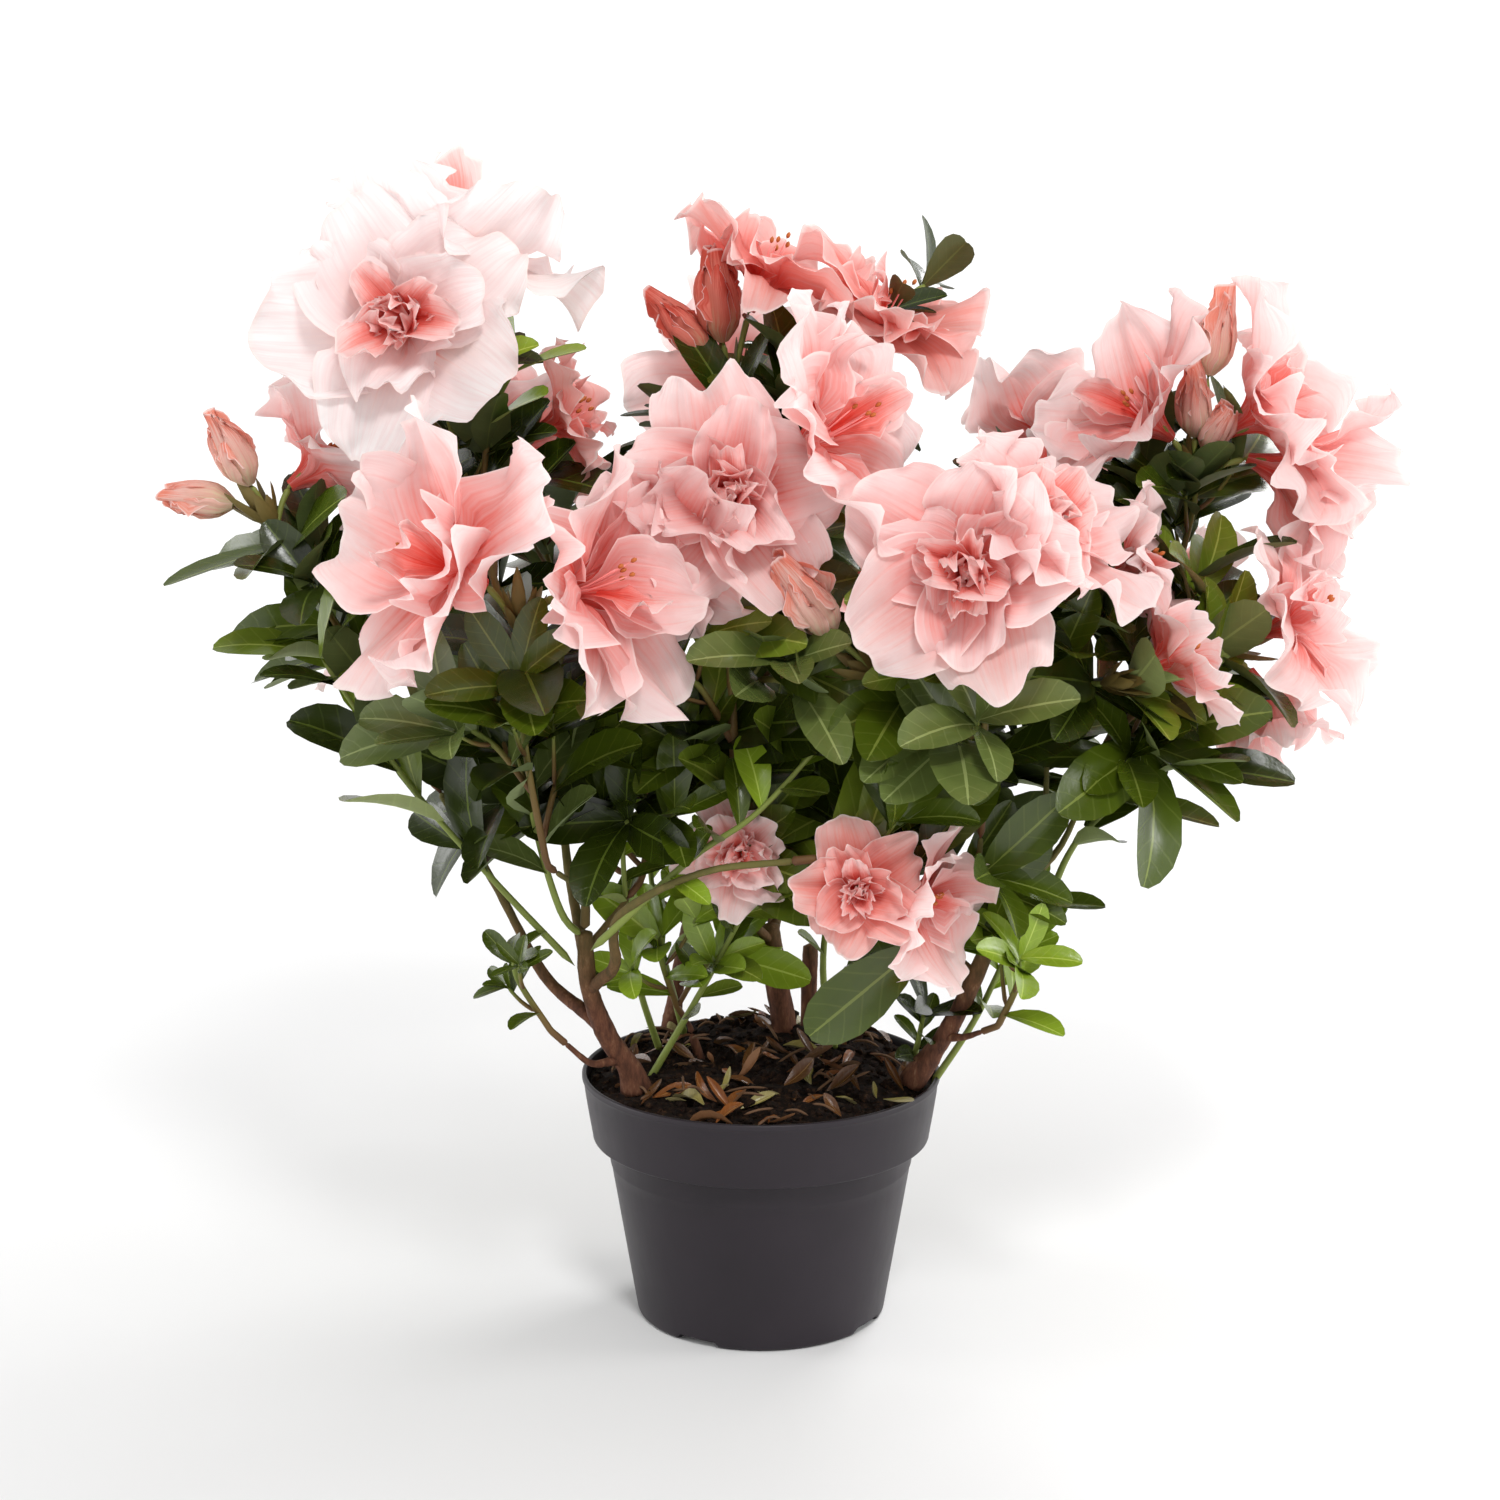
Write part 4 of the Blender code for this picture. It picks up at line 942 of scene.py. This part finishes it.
for tone, parts in petals.items():
    blossom = joined(f"{tone}_petals", parts, petal_material(f"{tone}_petal", *PETAL_TONES[tone]))
for tone, parts in bud_parts.items():
    bud_skin = petal_material(f"{tone}_bud", *BUD_TONES[tone], vein=BUD_VEIN)
    buds = joined(f"{tone}_buds", parts, bud_skin)

# Stalks and calyces: each bloom hangs on a short hairy green stalk and sits in five narrow pointed
# sepals, with a few brown-green scales at the twig's tip. They are small two-sided blades.
SEPALS = 5
BRACTS = 11
blade_sheet = flat_sheet(2, 4, two_sided=True)


def blade(sheet, base, direction, facing, length, width, fold, curl, belly=0.6, sharpness=0.62):
    """A leaf-like blade, widest at its belly, folded along its rib and curled along itself."""
    direction = direction.normalized()
    side = direction.cross(facing).normalized()
    up = side.cross(direction).normalized()
    u = sheet.u
    v = 1 - (1 - sheet.v)**1.6
    power = math.log(0.5) / math.log(belly)
    half = width / 2 * np.maximum(np.sin(math.pi * np.clip(v, 0.002, 0.998)**power), 0.03)**sharpness
    turn = curl * v
    run = length * (np.sin(turn) / curl if abs(curl) > 0.01 else v)
    drop = length * ((1 - np.cos(turn)) / curl if abs(curl) > 0.01 else 0 * v)
    rise = np.abs(u)**1.3 * half * math.sin(fold) - sheet.under * 0.25 * MM
    forward = run + rise * np.sin(turn)
    upward = rise * np.cos(turn) - drop
    sideways = u * half * math.cos(fold)
    points = np.outer(forward, direction) + np.outer(sideways, side) + np.outer(upward, up)
    return sheet, np.array(base) + points


stalk_sheet = flat_sheet(6, 8)
calyx_parts = [rolled(stalk_sheet, line, taper(0.9 * MM, 1.4 * MM)) for line in stalks]
dice = random.Random("sepals")
for bloom, base, axis in flowers:
    for index in range(SEPALS):
        out = spoke(axis, math.tau * index / SEPALS + dice.uniform(-0.2, 0.2))
        spread = dice.uniform(0.35, 0.8)
        calyx_parts.append(blade(
            blade_sheet, base - 1.5 * MM * axis, axis + spread * out, axis - out,
            dice.uniform(8, 12) * MM, 3.4 * MM, 0.3, -0.4, belly=0.4))
bract_parts = []
for name, mass, number, shoot, path in shoots:
    direction = (path[-1] - path[-2]).normalized()
    for index in range(BRACTS if shoot.blooms else 0):
        out = spoke(direction, GOLDEN_ANGLE * index)
        bract_parts.append(blade(
            blade_sheet, path[-1] - dice.uniform(0, 5) * MM * direction,
            direction + dice.uniform(0.2, 1.1) * out, direction - out,
            dice.uniform(14, 26) * MM, 6 * MM, 0.4, -0.5, belly=0.45))
bracts = joined("bracts", bract_parts, plain_material("bract_skin", linear(112, 96, 48), 0.65), sharp=70)
sepal_skin = plain_material("sepal_skin", linear(128, 138, 66), 0.6)
calyces = joined("calyces", calyx_parts, sepal_skin, sharp=70)

# Stamens: a few long pink filaments with orange-brown anthers stand out of each open throat. Each
# filament is a thin rolled sheet along a slight curve, and its anther is a short plump one.
STAMENS = 5
filament_sheet = flat_sheet(4, 6)
anther_sheet = flat_sheet(5, 4)
filament_parts, anther_parts = [], []
dice = random.Random("stamens")
for bloom, base, axis in flowers:
    for index in range(STAMENS if bloom.kind == "open" else 0):
        out = spoke(axis, math.tau * index / STAMENS + dice.uniform(-0.4, 0.4))
        reach = COROLLA * bloom.size * dice.uniform(0.42, 0.62)
        tip = base + reach * axis + (0.12 * reach) * out + 3 * MM * UP
        line = smooth_path([base + 6 * MM * axis, base + 0.5 * reach * axis + 0.05 * reach * out, tip], 3)
        filament_parts.append(rolled(filament_sheet, line, taper(0.4 * MM, 0.4 * MM)))
        ahead = (tip - line[-2]).normalized() * 2.4 * MM
        anther_parts.append(rolled(
            anther_sheet, [tip - 0.2 * ahead, tip + ahead],
            lambda share: 0.85 * MM * np.sin(math.pi * share)**0.5))
filaments = joined("filaments", filament_parts, plain_material("pink_filament", linear(246, 150, 146), 0.5))
anthers = joined("anthers", anther_parts, plain_material("anther_brown", linear(186, 104, 50), 0.7))

# Leaves: leathery evergreen blades, dark and glossy above with a sunken pale rib, and pale grey-green
# and matt beneath. They stand round every twig and in a whorl at its tip, by the solids' own rule.
leaf_sheet = flat_sheet(4, 6, two_sided=True)
TO_LIGHT = Vector((0, -0.55, 0.9))
SPUR_LEAVES = 5
POT_CLEARANCE = 100 * MM
LEAF_TRIES = 6
LOWEST_DROOP = -0.25
SUNLIT = 0.29


def leaf_seats(shoot, path, length, dice):
    """Root, twig direction, turn, pitch and length of each leaf: spaced along a shoot, then a whorl."""
    turn = dice.uniform(0, math.tau)
    for number in range(shoot.leaves):
        point, direction = along_path(path, 0.25 + 0.65 * (number + 0.5) / shoot.leaves)
        turn += GOLDEN_ANGLE
        pitch = math.radians(dice.uniform(48, 66))
        yield point, direction, turn, pitch, length * dice.uniform(0.8, 1.1)
    open_angle, below = (76, 7 * MM) if shoot.blooms else (56, 1 * MM)
    for number in range(shoot.whorl):
        point, direction = along_path(path, 1 - (below + number * 1.3 * MM) / path_length(path))
        turn += math.tau / shoot.whorl
        pitch = math.radians(open_angle + dice.uniform(-14, 14))
        yield point, direction, turn, pitch, length * dice.uniform(0.8, 1.2)


def spur_seats(path, length, dice):
    """The whorl of smaller leaves at the tip of a spur."""
    turn = dice.uniform(0, math.tau)
    for number in range(SPUR_LEAVES):
        point, direction = along_path(path, 1 - 0.06 * number)
        turn += math.tau / SPUR_LEAVES
        pitch = math.radians(dice.uniform(30, 72))
        yield point, direction, turn, pitch, length * dice.uniform(0.6, 0.9)


blossom_points = []
blossom_faces = []
for parts in petals.values():
    for sheet, points in parts:
        blossom_faces += (sheet.faces + len(blossom_points)).tolist()
        blossom_points += points.tolist()
blossom_tree = BVHTree.FromPolygons(blossom_points, blossom_faces)


def meets_blossom(root, tip):
    way = tip - root
    return blossom_tree.ray_cast(root, way.normalized(), way.length * 1.05)[0] is not None


def grow_leaf(root, twig, turn, pitch, length, dice):
    """One leaf, turned on round its twig while a petal or the pot stands in its way, or none."""
    outward = Vector((root.x, root.y, 0)).normalized()
    facing = (0.4 * twig + 0.7 * outward + TO_LIGHT).normalized()
    for _ in range(LEAF_TRIES):
        direction = (math.cos(pitch) * twig + math.sin(pitch) * spoke(twig, turn)).normalized()
        direction.z = max(direction.z, LOWEST_DROOP)
        direction.normalize()
        tip = root + direction * length
        if tip.z >= POT_CLEARANCE and not meets_blossom(root, tip):
            curl = dice.uniform(0.1, 0.75)
            start = direction + 0.35 * curl * facing
            tilt = facing + 0.25 * dice.uniform(-1, 1) * direction.cross(facing)
            return blade(leaf_sheet, root, start, tilt, length, length * dice.uniform(0.4, 0.49),
                         dice.uniform(0.15, 0.45), curl, sharpness=0.5)
        turn += GOLDEN_ANGLE
    return None


leaf_pattern = bpy.data.node_groups.new("leaf_pattern", "ShaderNodeTree")
pattern_sockets = (
    ("INPUT", "Rib Width"), ("INPUT", "Side Veins"), ("OUTPUT", "Underside"), ("OUTPUT", "Veins"),
    ("OUTPUT", "Mottle"), ("OUTPUT", "Relief"))
for side_of_group, label in pattern_sockets:
    leaf_pattern.interface.new_socket(label, in_out=side_of_group, socket_type="NodeSocketFloat")
tree = leaf_pattern
given = tree.nodes.new("NodeGroupInput").outputs
shared, across_both, along_blade = shared_map(tree)
across_blade = maths(tree, "FRACT", maths(tree, "MULTIPLY", across_both, 2.0))
off_rib = maths(tree, "ABSOLUTE", maths(tree, "MULTIPLY_ADD", across_blade, 2.0, -1.0))
slanted = maths(tree, "MULTIPLY_ADD", off_rib, -0.16, along_blade)
wave = maths(tree, "FRACT", maths(tree, "MULTIPLY", slanted, 7.0))
off_vein = maths(tree, "ABSOLUTE", maths(tree, "SUBTRACT", wave, 0.5))
side_veins = maths(tree, "MULTIPLY", maths(tree, "LESS_THAN", off_vein, 0.055), given["Side Veins"])
leaf_veins = maths(tree, "MAXIMUM", maths(tree, "LESS_THAN", off_rib, given["Rib Width"]), side_veins)
mottle = noise_texture(tree, shared, 7.0, detail=3)
pattern_ends = tree.nodes.new("NodeGroupOutput")
for label, value in (
        ("Underside", maths(tree, "GREATER_THAN", across_both, 0.5)), ("Veins", leaf_veins),
        ("Mottle", mottle), ("Relief", maths(tree, "MULTIPLY_ADD", leaf_veins, -0.6, mottle))):
    put(tree, pattern_ends.inputs[label], value)


def leaf_material(name, tints):
    """Glossy skin above and matt skin beneath, told apart by the shared map, with a pale rib and veins."""
    upper, vein, lower = (linear(*tint) for tint in tints)
    made = plain_material(name, upper, 0.27)
    tree = made.node_tree
    pattern = node(tree, "Group", "Veins", {"Rib Width": 0.05, "Side Veins": 0.18}, node_tree=leaf_pattern)
    marks = pattern.node.outputs
    raised = tuple(min(1, 1.35 * value) for value in lower)
    sides = []
    for skin, shade, ribs in ((upper, 0.72, vein), (lower, 0.75, raised)):
        shaded = tuple(shade * value for value in skin)
        mottled = mixed_colour(tree, marks["Mottle"], shaded, skin)
        sides.append(mixed_colour(tree, marks["Veins"], mottled, ribs))
    feed(made, {
        "Base Color": mixed_colour(tree, marks["Underside"], *sides),
        "Roughness": remapped(tree, marks["Underside"], 0.27, 0.65),
        "Normal": bumped(tree, marks["Relief"], 0.3, 0.0006)})
    return made


LEAF_TINTS = {
    "dark": ((46, 57, 13), (84, 97, 40), (88, 101, 54)),
    "deep": ((71, 86, 20), (112, 124, 54), (112, 125, 70)),
    "fresh": ((108, 126, 40), (150, 162, 74), (138, 150, 88)),
    "lime": ((138, 165, 46), (174, 194, 86), (156, 176, 88)),
    "sage": ((98, 112, 58), (138, 150, 92), (130, 143, 96)),
}
YOUNG = ("right_shoots", "left_shoots", "young_shoots")
leaf_parts = {tint: [] for tint in LEAF_TINTS}


def grow_spray(name, shoot, path, seats, dice):
    """The leaves of one shoot or spur, in one tint: pale if it is young, and darker high up."""
    tints = ("dark", "dark", "deep") if path[-1].z > SUNLIT else ("dark", "deep", "deep", "fresh")
    tint = "lime" if name in YOUNG else dice.choice(tints)
    for seat in seats:
        leaf = grow_leaf(*seat, dice)
        if leaf:
            leaf_parts[shoot.tint or tint].append(leaf)


for name, mass, number, shoot, path in shoots:
    dice = random.Random(f"{name} leaf {number}")
    grow_spray(name, shoot, path, leaf_seats(shoot, path, mass.leaf * shoot.leaf_share * MM, dice), dice)
for index, (name, shoot, length, path) in enumerate(spurs):
    dice = random.Random(f"{name} spur leaf {index}")
    grow_spray(name, shoot, path, spur_seats(path, length, dice), dice)

# Green shoots: thin young stems that come straight from the soil or off the old wood, with small soft
# leaves along them. They are rolled sheets along curves, like the twigs.
GREEN_LEAVES = 9
GreenShoot = namedtuple("GreenShoot", "route leaf tints", defaults=(24, ("lime", "fresh", "deep")))
GREEN_SHOOTS = [
    GreenShoot([(-45, -12, 94), (-23, -20, 135), (0, -40, 184)]),
    GreenShoot([(57, -5, 93), (60, -10, 108), (63, -20, 130)], 20, ("deep", "dark")),
    GreenShoot([(-63, -60, 162), (-26, -70, 199), (-1, -70, 217), (28, -70, 250)]),
    GreenShoot([(-67, -40, 162), (-75, -50, 176), (-84, -64, 219), (-84, -74, 256)], 38, ("sage", "deep")),
    GreenShoot([(-38, 10, 96), (-48, -14, 140), (-52, -30, 190), (-50, -34, 226)]),
    GreenShoot([(-30, 30, 100), (-40, 10, 150), (-46, 0, 210)]),
    GreenShoot([(30, 10, 100), (24, 0, 140), (30, -10, 190), (36, -20, 230)]),
    GreenShoot([(66, -10, 94), (82, -16, 122), (94, -20, 150), (107, -26, 178)]),
    GreenShoot(
        [(-70, -38, 150), (-100, -46, 186), (-130, -46, 222), (-162, -40, 268)], 42,
        ("deep", "fresh", "dark")),
    GreenShoot([(106, -30, 168), (118, -40, 200), (144, -36, 222), (164, -30, 236)], 38, ("deep", "dark")),
]
green_skin = plain_material("green_skin", linear(122, 134, 66), 0.55, specular=0.3)
green_parts = []
for number, shoot in enumerate(GREEN_SHOOTS):
    line = smooth_path([place(point) for point in shoot.route], 6)
    green_parts.append(rolled(twig_sheet, line, taper(1.5 * MM, 0.8 * MM)))
    dice = random.Random(f"green shoot {number}")
    turn = dice.uniform(0, math.tau)
    for index in range(GREEN_LEAVES):
        point, direction = along_path(line, 0.34 + 0.082 * index)
        turn += GOLDEN_ANGLE
        pitch = math.radians(dice.uniform(35, 70) - 0.8 * max(0, shoot.leaf - 24))
        leaf = grow_leaf(point, direction, turn, pitch, shoot.leaf * dice.uniform(0.7, 1.3) * MM, dice)
        if leaf:
            leaf_parts[dice.choice(shoot.tints)].append(leaf)
green_shoots = joined("green_shoots", green_parts, green_skin)
for tint, parts in leaf_parts.items():
    leaves = joined(f"{tint}_leaves", parts, leaf_material(f"{tint}_leaf", LEAF_TINTS[tint]), sharp=100)

# Litter: dry fallen leaves and bits of twig that lie on the soil, browned, curled and half rotted.
# They are small blades and rolled sheets like those on the plant, strewn by chance.
LITTER_TINTS = {
    "rust": ((134, 80, 42), (172, 124, 76), (128, 88, 56)),
    "umber": ((96, 62, 36), (136, 100, 64), (104, 76, 50)),
    "straw": ((150, 138, 80), (188, 178, 116), (160, 148, 100)),
}
LITTER_PIECES = 150
litter = {tint: [] for tint in LITTER_TINTS}
sticks = []
dice = random.Random("litter")
for _ in range(LITTER_PIECES):
    x, y = soil_spot(dice, 0.93)
    rest = Vector((x, y, soil_height(x, y) + dice.uniform(0.8, 2.4) * MM))
    heading = heading_vector(dice.uniform(0, 360), dice.uniform(-8, 30))
    length = dice.uniform(7, 18) * MM
    if (rest + heading * length).xy.length > SOIL_EDGE * 0.9:
        heading = Vector((-heading.x, -heading.y, heading.z))
    if dice.random() < 0.3:
        bent = rest + heading * 0.5 * length + UP * dice.uniform(0.5, 2) * MM
        line = smooth_path([rest, bent, rest + heading * length], 3)
        sticks.append(rolled(spur_sheet, line, taper(0.55 * MM, 0.55 * MM)))
        continue
    facing = (UP + 0.5 * heading_vector(dice.uniform(0, 360), 0)).normalized()
    tint = dice.choice(("rust", "rust", "umber", "umber", "straw"))
    litter[tint].append(blade(
        leaf_sheet, rest, heading, facing, length, length * dice.uniform(0.32, 0.5),
        dice.uniform(0.2, 1.0), dice.uniform(-1.4, 1.6)))
on_rim = Vector((46, -42, 99)) * MM
litter["straw"].append(blade(
    leaf_sheet, on_rim, Vector((0.7, -0.7, 0.05)), UP, 16 * MM, 6 * MM, 0.4, -0.3))
for tint, parts in litter.items():
    fallen = joined(f"{tint}_litter", parts, leaf_material(f"{tint}_litter", LITTER_TINTS[tint]), sharp=100)
twig_bits = joined("twig_bits", sticks, plain_material("dead_twig", linear(104, 76, 54), 0.85))
